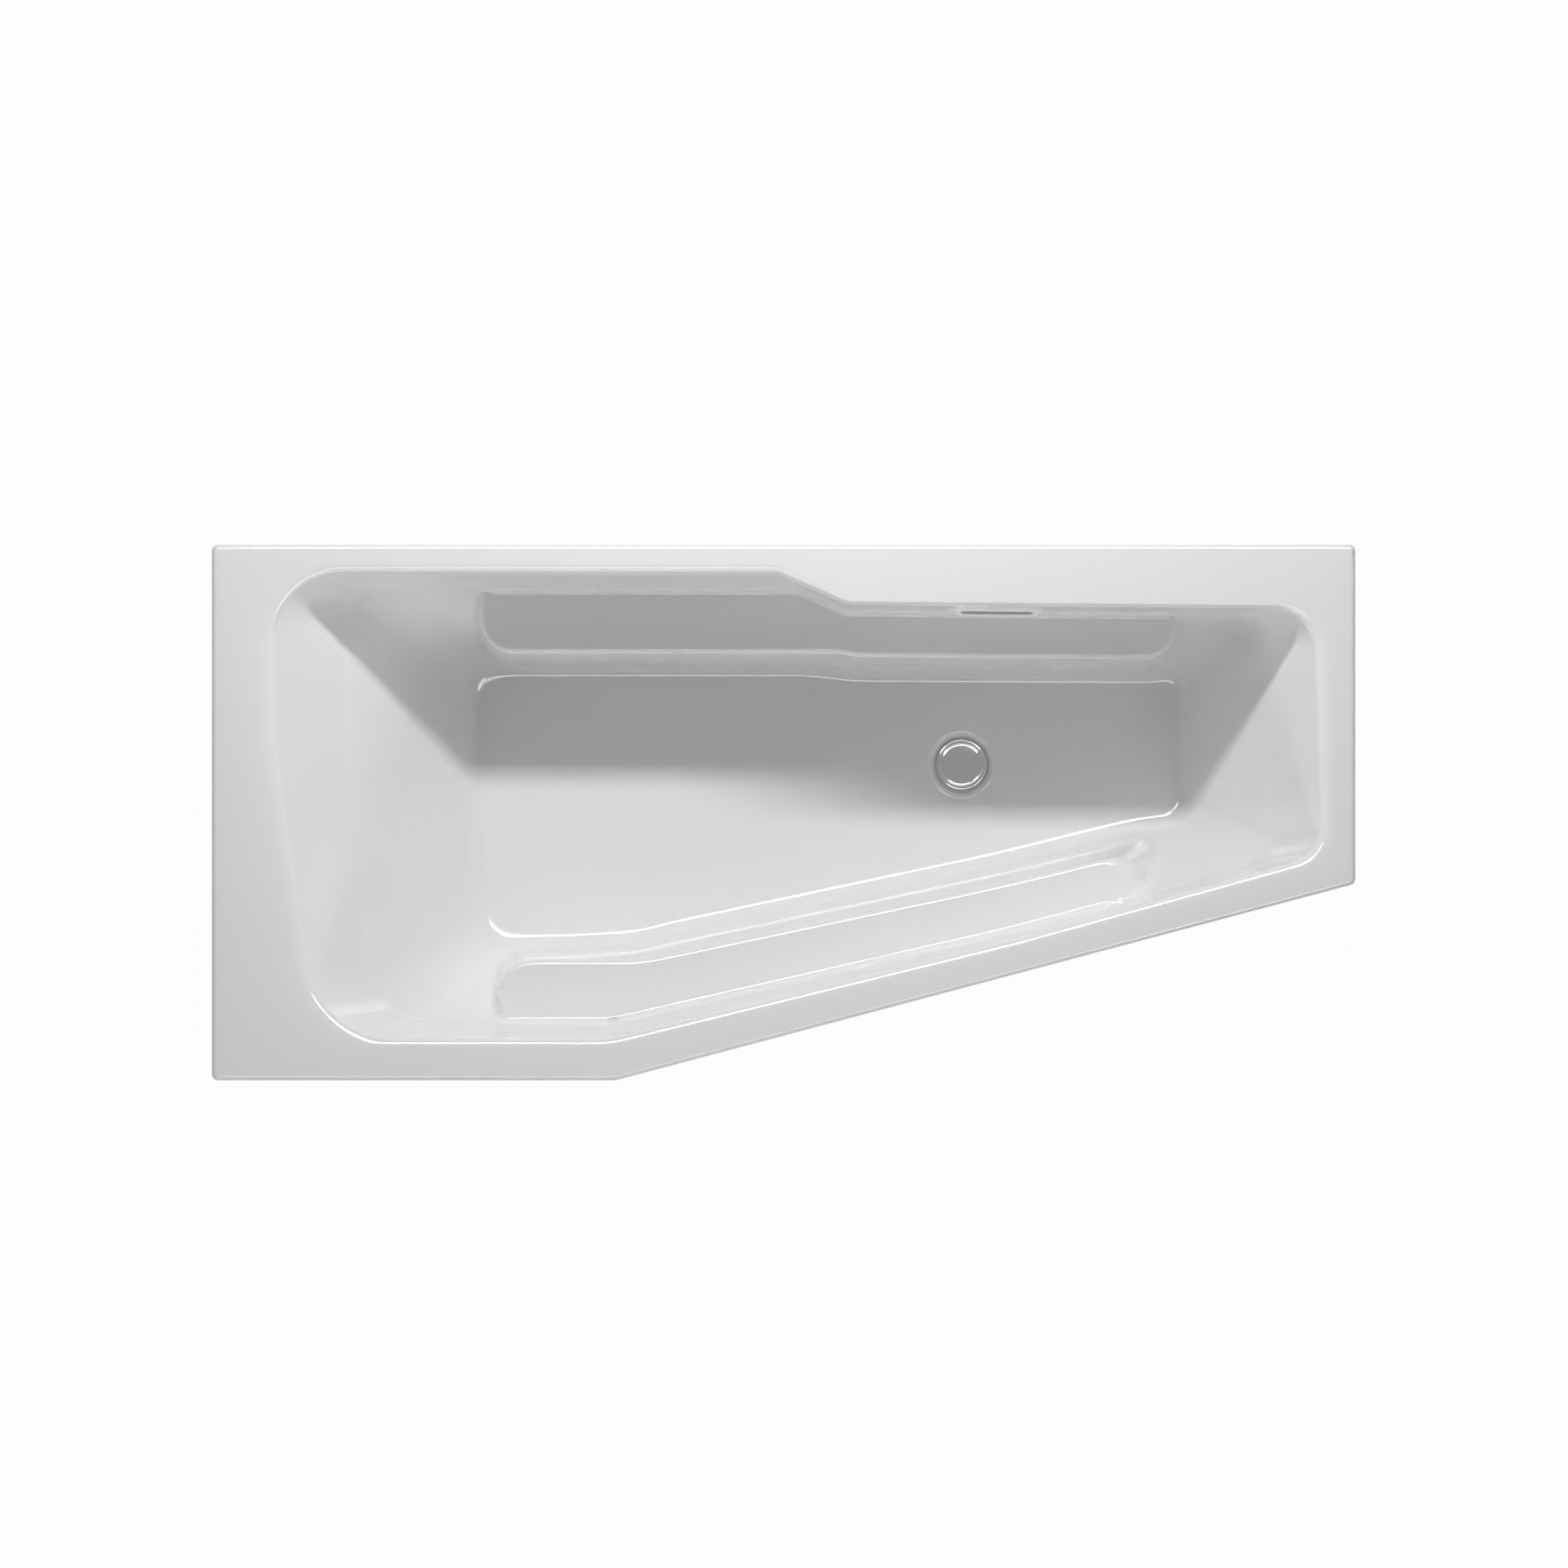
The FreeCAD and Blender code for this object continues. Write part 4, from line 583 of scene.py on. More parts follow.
# How far the front ledge's side stands inside at both ends of each outer edge, the softness of its two bends,
# and how far its foot leans out along the straight and the slanted part
FRONT_LEDGE_SIDES = {("foot_front", "slant_middle"): (116, 127), ("slant_middle", "bend"): (127, 157),
                     ("bend", "head_front"): (168, 168)}
FRONT_LEDGE_BENDS = (1.5, 5.5)
FRONT_LEDGE_RUNS = (20, 30)
BEND_REACH = 100


def ledge_room(points, side, run, ends, fading=0):
    """A function for the room outside an arm ledge at a level, from how far points lie inside its side."""
    x = points[:, 0]
    end = np.minimum(x - ends[0], ends[1] - x)
    inside = corner_room(side, end, LEDGE_CORNER)
    across, along = np.maximum(LEDGE_CORNER - side, 0) ** 2, np.maximum(LEDGE_CORNER - end, 0) ** 2
    sideways = across / np.maximum(across + along, TINY)
    fades = fading * (x > sum(ends) / 2)
    end_run = LEDGE_END_RUN + (FADING_RUN - LEDGE_END_RUN) * fades
    spread = end_run + (run - end_run) * sideways
    rounding = LEDGE_ROUND + (FADING_ROUND - LEDGE_ROUND) * fades * (1 - sideways)

    def room(level, eased):
        below = np.clip((level - LEDGE_TOP) / rounding, 0, 1)
        reached = spread * (level - LEDGE_TOP) / (FLOOR_DEPTH - LEDGE_TOP) + HEEL_SIDE * eased
        reached -= rounding * (1 - np.sqrt(below * (2 - below)))
        return np.where(level < LEDGE_TOP, EMPTY, -inside - reached)

    return room


def back_ledge(points):
    """The room outside the arm ledge along the back wall."""
    x = points[:, 0]
    widened = smooth(*LEDGE_JOG, x) + np.clip((x - JOG_END) / (HALF - JOG_END), 0, 1)
    side = BACK_LEDGE_SIDE + LEDGE_WIDENS * widened - (BACK - points[:, 1])
    return ledge_room(points, side, BACK_LEDGE_RUN, BACK_LEDGE)


def front_ledge(points):
    """The room outside the arm ledge along the front and the slanted wall."""
    sides = []
    for edge, (first, last) in FRONT_LEDGE_SIDES.items():
        share, inside = along_and_in(points, *edge)
        sides.append(inside - first - (last - first) * share)
    foot_bend, head_bend = FRONT_LEDGE_BENDS
    side = -soft_least(soft_least(sides[0], sides[1], foot_bend), sides[2], head_bend)
    straight, slanted = FRONT_LEDGE_RUNS
    run = straight + (slanted - straight) * smooth(BEND_X - BEND_REACH, BEND_X + BEND_REACH, points[:, 0])
    return ledge_room(points, side, run, FRONT_LEDGE, 1)


# %% The landscape
TOE_SOFTNESS = 1
BEND_SOFTNESS = 6
CHANNEL_SOFTNESS = 12
JOINT_SOFTNESS = 8
# The fillet between the upper wall and a ledge, and how soon above the ledge it starts
ROOT = 6
ROOT_LEAD = 2
HIGHEST = 60.0
HALVINGS = 17
BLEND = 18
# The radii of the four corners at the ledges and at the floor
CORNER_RADII = [(32, 28), (60, 28), (60, 62), (32, 62)]


def room_at(level, walls, ledges):
    """The room that all walls and ledges leave at a level, with rounded corners."""
    sunk = (level - LEDGE_DEPTH) / (FLOOR_DEPTH - LEDGE_DEPTH)
    foot_of_wall = np.clip((level - FLOOR_DEPTH + HEEL_RISE) / HEEL_RISE, 0, 1)
    eased = 1 - np.sqrt(1 - foot_of_wall ** 2)
    back, foot, toe, slant, front, head_front, head_back = (wall(sunk, eased) for wall in walls)
    back = soft_least(back, ledges[0](level, eased), CHANNEL_SOFTNESS)
    front = soft_least(soft_least(toe, slant, TOE_SOFTNESS), front, BEND_SOFTNESS)
    front = soft_least(front, ledges[1](level, eased), CHANNEL_SOFTNESS)
    head = soft_least(head_front, head_back, BEND_SOFTNESS)
    sunk = np.clip(sunk, 0, 1)
    pairs = [(back, foot), (foot, front), (front, head), (head, back)]
    return np.minimum.reduce([corner_room(first, second, ledge + (floor - ledge) * sunk)
                              for (first, second), (ledge, floor) in zip(pairs, CORNER_RADII)])


def root(distance, depth, ledges):
    """How far the fillet between the upper wall and a ledge stands above the ledge."""
    reach = np.clip(1 - distance / ROOT, 0, 1)
    level = np.full(len(depth), LEDGE_TOP)
    within = LEDGE_ROUND - np.minimum(ledges[0](level, 0), ledges[1](level, 0))
    on_top = smooth(LEDGE_TOP - ROOT_LEAD, LEDGE_TOP, depth)
    on_top *= 1 - smooth(LEDGE_TOP, LEDGE_TOP + LEDGE_ROUND, depth)
    return ROOT * (1 - np.sqrt(1 - reach ** 2)) * on_top * smooth(LEDGE_ROUND, 2 * LEDGE_ROUND, within)


def landscape(points, wall_depth, wall_distance):
    """The depth of the whole lower basin, with the upper wall's own slope going on into it."""
    walls, ledges = wall_rooms(points), [back_ledge(points), front_ledge(points)]
    bottom = np.full(len(points), float(FLOOR_DEPTH))
    upper, lower = np.full(len(points), HIGHEST), bottom
    for halving in range(HALVINGS):
        middle = (upper + lower) / 2
        free = room_at(middle, walls, ledges) > 0
        upper, lower = np.where(free, middle, upper), np.where(free, lower, middle)
    depth = np.where(room_at(bottom, walls, ledges) > 0, FLOOR_DEPTH, lower)
    joined = soft_least(wall_depth, depth - root(wall_distance, depth, ledges), JOINT_SOFTNESS)
    return wall_depth + (joined - wall_depth) * smooth(START_DEPTH, START_DEPTH + BLEND, wall_depth)


# %% [markdown]
# ## Paths down to the floor
# From each station at the foot of the upper wall a straight path runs to a kerb on the floor. Beside an arm
# ledge the paths run square to the wall, so that the ledge's end lies between two of them. Along each path
# the rings crowd where the surface turns, which keeps small rounds smooth without a million faces.

# %% The kerb and the paths
# How far the kerb stands inside the outer edge along the back, and at both ends of the other sides
KERB_BACK = 201
KERB_TOE = (160, 175)
KERB_SLANT = (175, 205)
KERB_FRONT = (214, 214)
KERB_SIDE = 14
KERB_BACK_X = (BACK_LEDGE[0] + 5, BACK_LEDGE[1] - 10)
FAR_OFF = spot(0, -400)
HALF_OFF = 200
# A path gets a ring for so many millimetres, and one for so much turning
RING_LENGTH = 14
RING_TURN = 0.14
PATH_RINGS = 56
PATH_SAMPLES = 300
PATH_CROWDING = 1.3
# How far off the stations are that even out their rings with each other, pass by pass
EVENED_OVER = (1, 2, 4)
START_RUN = 10
# A path that runs along its wall, or a wall that stands upright, counts as if it were this much less so
LEAST_DIRECT, LEAST_RUN = 0.15, 0.02


def kerb():
    """The point on the floor that each station's path runs to."""
    start = walk(basin_arcs(START_DEPTH))
    toe = inset_line("foot_front", "slant_middle", *KERB_TOE)
    slant = inset_line("slant_middle", "bend", *KERB_SLANT)
    front = inset_line("bend", "head_front", *KERB_FRONT)
    foot_front, head_front = (crossing(line, (spot(x, 0), spot(x, 1))) for line, x in
                              ((toe, FRONT_LEDGE[1] + KERB_SIDE), (front, FRONT_LEDGE[0] - KERB_SIDE)))
    middle, bend = crossing(toe, slant), crossing(slant, front)
    # Knots: a place close to the start of a path, and the place on the kerb where that path ends
    knots = [
        (spot(BACK_LEDGE[0] - KERB_SIDE, BACK), spot(KERB_BACK_X[0], BACK - KERB_BACK)),
        (spot(BACK_LEDGE[1] + KERB_SIDE, BACK), spot(KERB_BACK_X[1], BACK - KERB_BACK)),
        (foot_front + FAR_OFF, foot_front),
        (middle + inward(OUTER["bend"], OUTER["slant_middle"]) * HALF_OFF, middle),
        (bend + FAR_OFF, bend),
        (head_front + FAR_OFF, head_front),
    ]
    nearest = [int(np.argmin(np.linalg.norm(start - place, axis=1))) for place, end in knots]
    ends = np.array([end for place, end in knots + knots[:1]])
    # Between its knots the kerb follows the stations by the way that they travel
    travelled = np.append(0, np.cumsum(np.linalg.norm(np.roll(start, -1, 0) - start, axis=1)))
    total = travelled[-1]
    knots_at = np.append(travelled[nearest], travelled[nearest[0]] + total)
    stations_at = travelled[:-1] + total * (np.arange(STATIONS) < nearest[0])
    return np.stack([np.interp(stations_at, knots_at, ends[:, axis]) for axis in (0, 1)], 1)


def path_field():
    """A function for the points of all paths at shares of the way along them."""
    above, start = upper_ring(START_DEPTH - START_RUN), upper_ring(START_DEPTH)
    side = normals_of(start[:, :2])
    run_in = np.sum((start - above)[:, :2] * side, 1) / START_RUN
    way = kerb() - start[:, :2]
    length = np.linalg.norm(way, axis=1)
    direct = np.sum(unit(way) * side, 1)
    fall = np.maximum(direct, LEAST_DIRECT) / np.maximum(run_in, LEAST_RUN)

    def surface(shares):
        """Points on all paths at shares of their length, as (stations, shares, 3)."""
        points = start[:, None, :2] + way[:, None, :] * shares[:, :, None]
        travelled = length[:, None] * shares
        wall_depth = START_DEPTH + fall[:, None] * travelled
        wall_distance = travelled * direct[:, None] - ((LEDGE_TOP - START_DEPTH) * run_in)[:, None]
        depth = landscape(points.reshape(-1, 2), wall_depth.ravel(), wall_distance.ravel())
        return np.concatenate([points, RIM_TOP - depth.reshape(shares.shape)[:, :, None]], 2)

    return surface


def even_shares(samples, shares):
    """Shares at even steps of length and of turning along each path, alike on neighbouring paths."""
    across = np.linalg.norm(samples[:, :, :2] - samples[:, :1, :2], axis=2)
    steps, drops = np.diff(across, axis=1), -np.diff(samples[:, :, 2], axis=1)
    bending = np.abs(np.diff(np.unwrap(np.arctan2(drops, steps), axis=1), axis=1))
    density = np.hypot(steps, drops) / RING_LENGTH
    density[:, 1:] += bending / RING_TURN
    for shift in EVENED_OVER:
        density = (np.roll(density, shift, 0) + 2 * density + np.roll(density, -shift, 0)) / 4
    weight = np.concatenate([np.zeros((STATIONS, 1)), np.cumsum(density, 1)], 1)
    wanted = np.linspace(0, 1, PATH_RINGS + 1)[1:]
    return np.array([np.interp(wanted * row[-1], row, line) for row, line in zip(weight, shares)])


def path_rings(surface):
    """The rings from the foot of the upper wall to the kerb."""
    shares = np.tile(np.linspace(0, 1, PATH_SAMPLES) ** PATH_CROWDING, (STATIONS, 1))
    chosen = surface(even_shares(surface(shares), shares))
    return [chosen[:, index] for index in range(PATH_RINGS)]


# %% [markdown]
# ## The floor and the seat of the waste
# The floor runs in straight rows from the kerb to the seat: a shallow cone that lets the flange sit lower
# than the floor, so that the last water drains. The cone's upper edge is softly rounded.

# %% Rings of the floor and the seat
flange_low, flange_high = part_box("waste_flange")
WASTE = spot(flange_low.x + flange_high.x, flange_low.y + flange_high.y) / 2 / MM
SEAT_EDGE = 48
# The seat from its softly rounded edge to its hole, as (radius, drop below the floor)
SEAT_PROFILE = [(46.5, 0.2), (45.2, 0.7), (44.0, 1.5), (42.9, 2.6), (41.9, 3.8), (39.0, 7.0), (38.2, 7.6),
                (37.2, 8), (26, 8), (26, 13)]
UNDER_SEAT = [(42, 13), (52, WALL)]
FLOOR_SHARES = [0.012, 0.025, 0.04, 0.06, 0.085, 0.12, 0.17, 0.25, 0.4, 0.65, 1]


def waste_ring(outline, radius, drop):
    """A circle round the waste, below the floor, whose stations look towards an outline's."""
    return ring(WASTE + unit(outline - WASTE) * radius, FLOOR - drop)


def floor_rings(last):
    """The floor from the kerb to the seat, and the seat with its hole."""
    start, way = last[:, :2], (waste_ring(last[:, :2], SEAT_EDGE, 0) - last)[:, :2]
    far = np.full(STATIONS, EMPTY)
    floor = [ring(points, RIM_TOP - landscape(points, far, far))
             for points in (start + way * share for share in FLOOR_SHARES)]
    return floor + [waste_ring(start, *step) for step in SEAT_PROFILE]


# %% [markdown]
# ## The back of the shell
# The sheet is about 5 mm thick with its backing. The underside copies every second ring of the top, moved
# 5 mm along the surface's own direction. The last ring joins the lip's lower edge, so the shell is one
# closed skin.

# %% Rings of the underside and the finished shell
# Which rings of the top the underside copies: below the roll, then on the roll and on the rim
UNDER_EVERY = 2
UNDER_ROLL, UNDER_RIM = 5, 2
SKEWED = 0.4
SHELL_SHARP = math.radians(35)


def directions(rings):
    """The outward direction at every point of a stack of rings."""
    grid = np.array(rings)
    around = np.roll(grid, -1, 1) - np.roll(grid, 1, 1)
    across = np.gradient(grid, axis=0)
    facing = np.cross(across, around)
    length = np.linalg.norm(facing, axis=2)
    spread = length / np.maximum(np.linalg.norm(across, axis=2) * np.linalg.norm(around, axis=2), TINY)
    facing /= np.maximum(length, TINY)[:, :, None]
    # Where the grid is too skewed to tell, straight up is safe
    return np.where((spread < SKEWED)[:, :, None], np.array([0.0, 0.0, 1.0]), facing)


def under_rings(top, rim_start):
    """The underside, from the waste hole out to the lip."""
    seat = len(top) - len(SEAT_PROFILE)
    facing = directions(top)
    roll_end = rim_start + ROLL_RINGS
    picked = [*range(roll_end, seat - 1, UNDER_EVERY)][::-1]
    picked += [roll_end - UNDER_ROLL, rim_start + UNDER_RIM]
    edge = outer_outline()
    inner = edge + normals_of(edge) * WALL
    return ([waste_ring(top[seat - 1][:, :2], *step) for step in UNDER_SEAT]
            + [top[index] - facing[index] * WALL for index in picked]
            + [ring(inner, RIM_TOP - WALL), ring(inner, RIM_TOP - LIP_HEIGHT)])


def grid_faces(rows, columns):
    """Faces between rows of points, closed both ways, facing outwards."""
    here = np.arange(rows * columns).reshape(rows, columns)
    below = np.roll(here, -1, 0)
    return np.stack([here, below, np.roll(below, -1, 1), np.roll(here, -1, 1)], -1).reshape(-1, 4)


def in_scene(name, data):
    """A new object of the scene."""
    made = bpy.data.objects.new(name, data)
    bpy.context.scene.collection.objects.link(made)
    return made


def mesh_piece(name, points, faces, materials, which=None):
    """A piece in metres at the origin, with its materials, smooth but for its sharp edges."""
    mesh = bpy.data.meshes.new(name)
    mesh.from_pydata([tuple(point) for point in np.asarray(points) * MM], [], [tuple(face) for face in faces])
    for material in materials:
        mesh.materials.append(material)
    if which is not None:
        mesh.polygons.foreach_set("material_index", which)
    mesh.shade_smooth()
    mesh.set_sharp_from_angle(angle=SHELL_SHARP)
    return in_scene(name, mesh)


def make_shell():
    """The acrylic shell with its backing, as one closed skin."""
    lip = lip_rings()
    top = lip + upper_rings() + path_rings(path_field())
    top += floor_rings(top[-1])
    rings = top + under_rings(top, len(lip))
    faces = grid_faces(len(rings), STATIONS)
    which = np.repeat((np.arange(len(rings)) >= len(top) - 1).astype(np.int32), STATIONS)
    print(f"shell: {len(rings)} rings of {STATIONS} stations, {len(faces)} faces")
    return mesh_piece("tub", np.concatenate(rings), faces, [ACRYLIC, GLASS_FIBRE], which)


TUB = make_shell()

# %% [markdown]
# ## The overflow slot
# The slot is milled after moulding, through the wall and through the boss that the overflow housing seals
# against. A real cutter does the same here: a bar with round ends is taken away from the shell.

# %% Cut the slot
SLOT_LEVEL = RIM_TOP - 78
SLOT_HALF = 50.5
SLOT_RADIUS = 5.5
BOSS_FACE = BACK - 79
BOSS_SIZE = (84, 8.5, 30)
CUTTER_REACH = (40, 4)


def stadium(half, radius, steps=12):
    """An outline with round ends, as (across, up) points."""
    points = []
    for side, first in ((1, -90), (-1, 90)):
        for angle in np.radians([first + 180 * step / steps for step in range(steps + 1)]):
            points.append((side * (half - radius) + radius * math.cos(angle), radius * math.sin(angle)))
    return points


def slab(name, outline, centre, start, end, material):
    """A closed slab with an outline of (across, up) points, from one place along Y to another."""
    count = len(outline)
    points = [(centre[0] + across, y, centre[1] + up) for y in (start, end) for across, up in outline]
    faces = [(here, here + count, after + count, after) for here, after in enumerate([*range(1, count), 0])]
    faces += [tuple(range(count)), tuple(reversed(range(count, 2 * count)))]
    return mesh_piece(name, points, faces, [material])


def settled(piece):
    """Keep what the modifiers make of a piece as its plain mesh."""
    bpy.context.view_layer.update()
    result = bpy.data.meshes.new_from_object(piece.evaluated_get(bpy.context.evaluated_depsgraph_get()))
    piece.modifiers.clear()
    piece.data = result
    return result


def boolean(piece, tool, operation):
    """Join or cut a piece with a tool, and remove the tool."""
    change = piece.modifiers.new("cut", "BOOLEAN")
    change.operation = operation
    change.solver = "EXACT"
    change.object = tool
    settled(piece)
    bpy.data.objects.remove(tool)


def cut_slot():
    """Add the boss behind the wall and mill the slot through both."""
    half, depth, rise = BOSS_SIZE
    centre = (SLOT_X, SLOT_LEVEL)
    boss = slab("boss", stadium(half, rise), centre, BOSS_FACE - depth, BOSS_FACE, GLASS_FIBRE)
    boolean(TUB, boss, "UNION")
    start, end = BOSS_FACE - CUTTER_REACH[0], BOSS_FACE + CUTTER_REACH[1]
    cutter = slab("cutter", stadium(SLOT_HALF, SLOT_RADIUS), centre, start, end, ACRYLIC)
    boolean(TUB, cutter, "DIFFERENCE")
    TUB.data.set_sharp_from_angle(angle=SHELL_SHARP)
    print("shell with its slot:", len(TUB.data.polygons), "faces")


def fit(part, body, slot, *nodes):
    """Let a part ride on a body, with the solids that it stands for; the material slot that it is given is not
    used.
    """
    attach(part, body)
    if nodes:
        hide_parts(*nodes)


cut_slot()
fit(TUB, "tub", "acrylic", "tub_shell")

# %% [markdown]
# ## Wood under the rim and under the floor
# A panel of chipboard is bonded under the bathing floor, and timber battens stiffen the rim. Chips are small
# flat flakes, each cut from its own bit of wood, which is what a cell texture gives: one shade for each cell.
# Timber is slow along the batten and quick across it, so one stretched pattern, turned to the batten, makes
# its growth lines, and a finer one its fibres.

# %% Chipboard and timber
def chipboard():
    """Pressed wood chips under resin."""
    paint = Finish("pressed_chips")
    shade, dust = paint.flakes((0, 0, 0.6), (0.009, 0.003, 0.002)), paint.noise(600.0)
    tone = paint.colours(0.65 * shade + 0.45 * dust, (0.15, (0.33, 0.22, 0.11)), (0.45, (0.58, 0.43, 0.25)),
                         (0.7, (0.66, 0.51, 0.32)), (0.95, (0.78, 0.65, 0.45)))
    return paint.done(base_color=tone, roughness=0.72 + 0.2 * dust, normal=paint.relief(shade, 0.0002))


def timber(name, turn):
    """Planed softwood whose grain runs along a batten."""
    paint = Finish(name)
    lines = paint.node("TexWave", {"wave_type": "BANDS", "bands_direction": "Y", "wave_profile": "SAW"},
                       {"Vector": paint.place((0.5, 0, turn), (0.55, 0.035, 0.035)), "Scale": 3.0,
                        "Distortion": 5.0, "Detail": 3.0, "Detail Scale": 1.6})
    fibres = paint.streaks((0, 0, turn), (0.04, 0.0009, 0.0009))
    clouds = paint.streaks((0, 0, turn), (0.5, 0.03, 0.03), 2.0)
    tone = paint.colours(0.55 * lines + 0.3 * fibres + 0.25 * clouds, (0.2, (0.80, 0.64, 0.42)),
                         (0.6, (0.73, 0.55, 0.33)), (0.9, (0.55, 0.36, 0.18)))
    return paint.done(base_color=tone, roughness=0.6 + 0.2 * fibres, normal=paint.relief(fibres, 0.0002))


slant_way = OUTER["bend"] - OUTER["slant_middle"]
GRAIN_TURNS = {"back_batten": 0, "front_batten": 0, "head_batten": math.pi / 2, "foot_batten": math.pi / 2,
               "slant_batten": math.atan2(slant_way[1], slant_way[0])}
TIMBERS = {name: timber("softwood_" + name, turn) for name, turn in GRAIN_TURNS.items()}
CHIPBOARD = chipboard()
print("wood:", len(TIMBERS), "battens, one turned", round(math.degrees(GRAIN_TURNS["slant_batten"]), 1))

# %% [markdown]
# ## Metal
# Zinc freezes on a steel sheet in large flat crystals, and on small turned parts as a fine pale skin with a
# faint yellow or blue bloom. Chrome has no pattern but its polish, with a trace of wiping. Turned brass and
# drawn wire keep fine lines from their tools. The pattern's size is what tells these metals apart.

# %% Zinc, chrome, brass and wire
def zinc(name, crystal, pale, dark, roughness):
    """Zinc plating with crystals of a given size."""
    paint = Finish(name)
    shade, bloom = paint.flakes((0.3, 0.5, 0.2), (crystal,) * 3), paint.noise(45.0, 4.0, 0.6)
    scratches = paint.streaks((0, 0, 0.1), (0.02, 0.0006, 0.0006), 2.0)
    return paint.done(base_color=paint.mixed(0.5 * shade + 0.5 * bloom, dark, pale), metallic=1.0,
                      roughness=roughness + 0.16 * bloom + 0.08 * shade,
                      normal=paint.relief(scratches, 0.00004))


def chrome():
    """Polished plating with a trace of wiping."""
    paint = Finish("polished_chrome")
    wiped = paint.streaks((0, 0, 0.7), (0.06, 0.01, 0.02), 4.0, 0.6, 0.6)
    return paint.done(base_color=paint.mixed(wiped, (0.72, 0.73, 0.75), (0.80, 0.81, 0.82)), metallic=1.0,
                      roughness=0.04 + 0.07 * wiped)


def drawn(name, line, pale, dark, roughness):
    """Metal with fine lines round its axis, from the lathe or the die."""
    paint = Finish(name)
    lines, stain = paint.streaks((0, 0, 0), (0.02, 0.02, line)), paint.noise(120.0)
    return paint.done(base_color=paint.mixed(0.6 * lines + 0.4 * stain, dark, pale), metallic=1.0,
                      roughness=roughness + 0.18 * stain, normal=paint.relief(lines, 0.00005))


METALS = {
    "rail_steel": zinc("zinc_sheet", 0.011, (0.78, 0.79, 0.80), (0.52, 0.54, 0.56), 0.26),
    "screw_steel": zinc("zinc_screws", 0.0016, (0.80, 0.80, 0.76), (0.62, 0.61, 0.55), 0.22),
    "rod_steel": zinc("zinc_rods", 0.0022, (0.74, 0.75, 0.76), (0.50, 0.51, 0.52), 0.28),
    "spring_steel": drawn("spring_wire", 0.0002, (0.70, 0.70, 0.72), (0.45, 0.45, 0.47), 0.18),
    "stem_brass": drawn("turned_brass", 0.0003, (0.78, 0.62, 0.33), (0.58, 0.42, 0.19), 0.20),
    "chrome": chrome(),
}
print("metals:", sorted(METALS))

# %% [markdown]
# ## Rubber and moulded plastic
# Moulded plastic is never one flat colour from close by. It has flow marks, a fine grain from the mould and a
# little dust in the grain. Rubber has a grey bloom on black. One function serves all plastics: only colour,
# gloss and grain change.

# %% Rubber and plastics
def moulded(name, colour, gloss, grain, depth):
    """Moulded plastic or rubber, with a grain of a given size and depth in metres."""
    paint = Finish(name)
    flow = paint.streaks((0.3, 0.2, 0), (0.05, 0.05, 0.02), 3.0, 0.5, 0.8)
    pits = paint.noise(1 / grain, 2.0)
    worn = [channel * 0.86 + 0.02 for channel in colour]
    return paint.done(base_color=paint.mixed(0.7 * flow + 0.3 * pits, worn, colour), ior=1.49,
                      roughness=gloss + 0.14 * pits + 0.08 * flow, normal=paint.relief(pits, depth))


PLASTICS = {
    "seal_rubber": moulded("seal_rubber_black", (0.055, 0.055, 0.06), 0.55, 0.0008, 0.00010),
    "guide_plastic": moulded("acetal", (0.85, 0.85, 0.82), 0.28, 0.0010, 0.00004),
    "drain_plastic": moulded("white_polypropylene", (0.84, 0.84, 0.81), 0.32, 0.0012, 0.00006),
    "union_plastic": moulded("grey_polypropylene", (0.35, 0.37, 0.40), 0.36, 0.0010, 0.00008),
    "pipe_plastic": moulded("white_pipe", (0.80, 0.81, 0.79), 0.25, 0.0025, 0.00005),
    "foot_plastic": moulded("black_nylon", (0.07, 0.07, 0.075), 0.40, 0.0009, 0.00012),
}
FINISHES = {"acrylic": ACRYLIC, "chipboard": CHIPBOARD, **METALS, **PLASTICS}
print("plastics:", sorted(PLASTICS))

# %% [markdown]
# ## Every solid gets its finish
# The record names one material slot for each solid. The solids keep their shape and only change what is in
# their slot. Battens are the exception: each takes the timber whose grain is turned its way.

# %% Finish the solids
SLOTS = {row["node"]: row["material_slot"] for row in frame["record"]["subparts"]}
for name, node in NODES.items():
    for place in range(len(node.data.materials)):
        node.data.materials[place] = TIMBERS.get(name) or FINISHES[SLOTS[name]]
print("solids with a finish:", len(SLOTS))

# %% [markdown]
# ## Turned and milled parts
# The plug's cap, the flange, nuts and screws come from a lathe, so one profile turned round an axis makes
# each. A nut is turned too, and then its six flats are milled. Here the milling is a limit: no ring may stand
# further out than the hexagon, and where a sloping face meets that limit the nut gets its curved chamfer.

# %% The lathe
PART_SHARP = math.radians(28)
SAME_PLACE = 0.000005


def turned(name, profile, finish, steps=48, flats=math.inf, closed=True):
    """A part turned from a profile of (radius, height) in millimetres, and milled where it has flats."""
    angles = [math.tau * step / steps for step in range(steps)]
    reaches = [flats / 2 / math.cos(angle % (math.pi / 3) - math.pi / 6) for angle in angles]
    points = [(min(radius, reach) * math.cos(angle), min(radius, reach) * math.sin(angle), height)
              for radius, height in profile for angle, reach in zip(angles, reaches)]
    faces = grid_faces(len(profile), steps)
    part = mesh_piece(name, points, faces if closed else faces[:-steps], [FINISHES[finish]])
    clean(part.data)
    return part


def clean(mesh):
    """Merge points that lie on each other and turn all faces outwards."""
    work = bmesh.new()
    work.from_mesh(mesh)
    bmesh.ops.remove_doubles(work, verts=work.verts, dist=SAME_PLACE)
    bmesh.ops.recalc_face_normals(work, faces=work.faces)
    work.to_mesh(mesh)
    work.free()
    mesh.set_sharp_from_angle(angle=PART_SHARP)


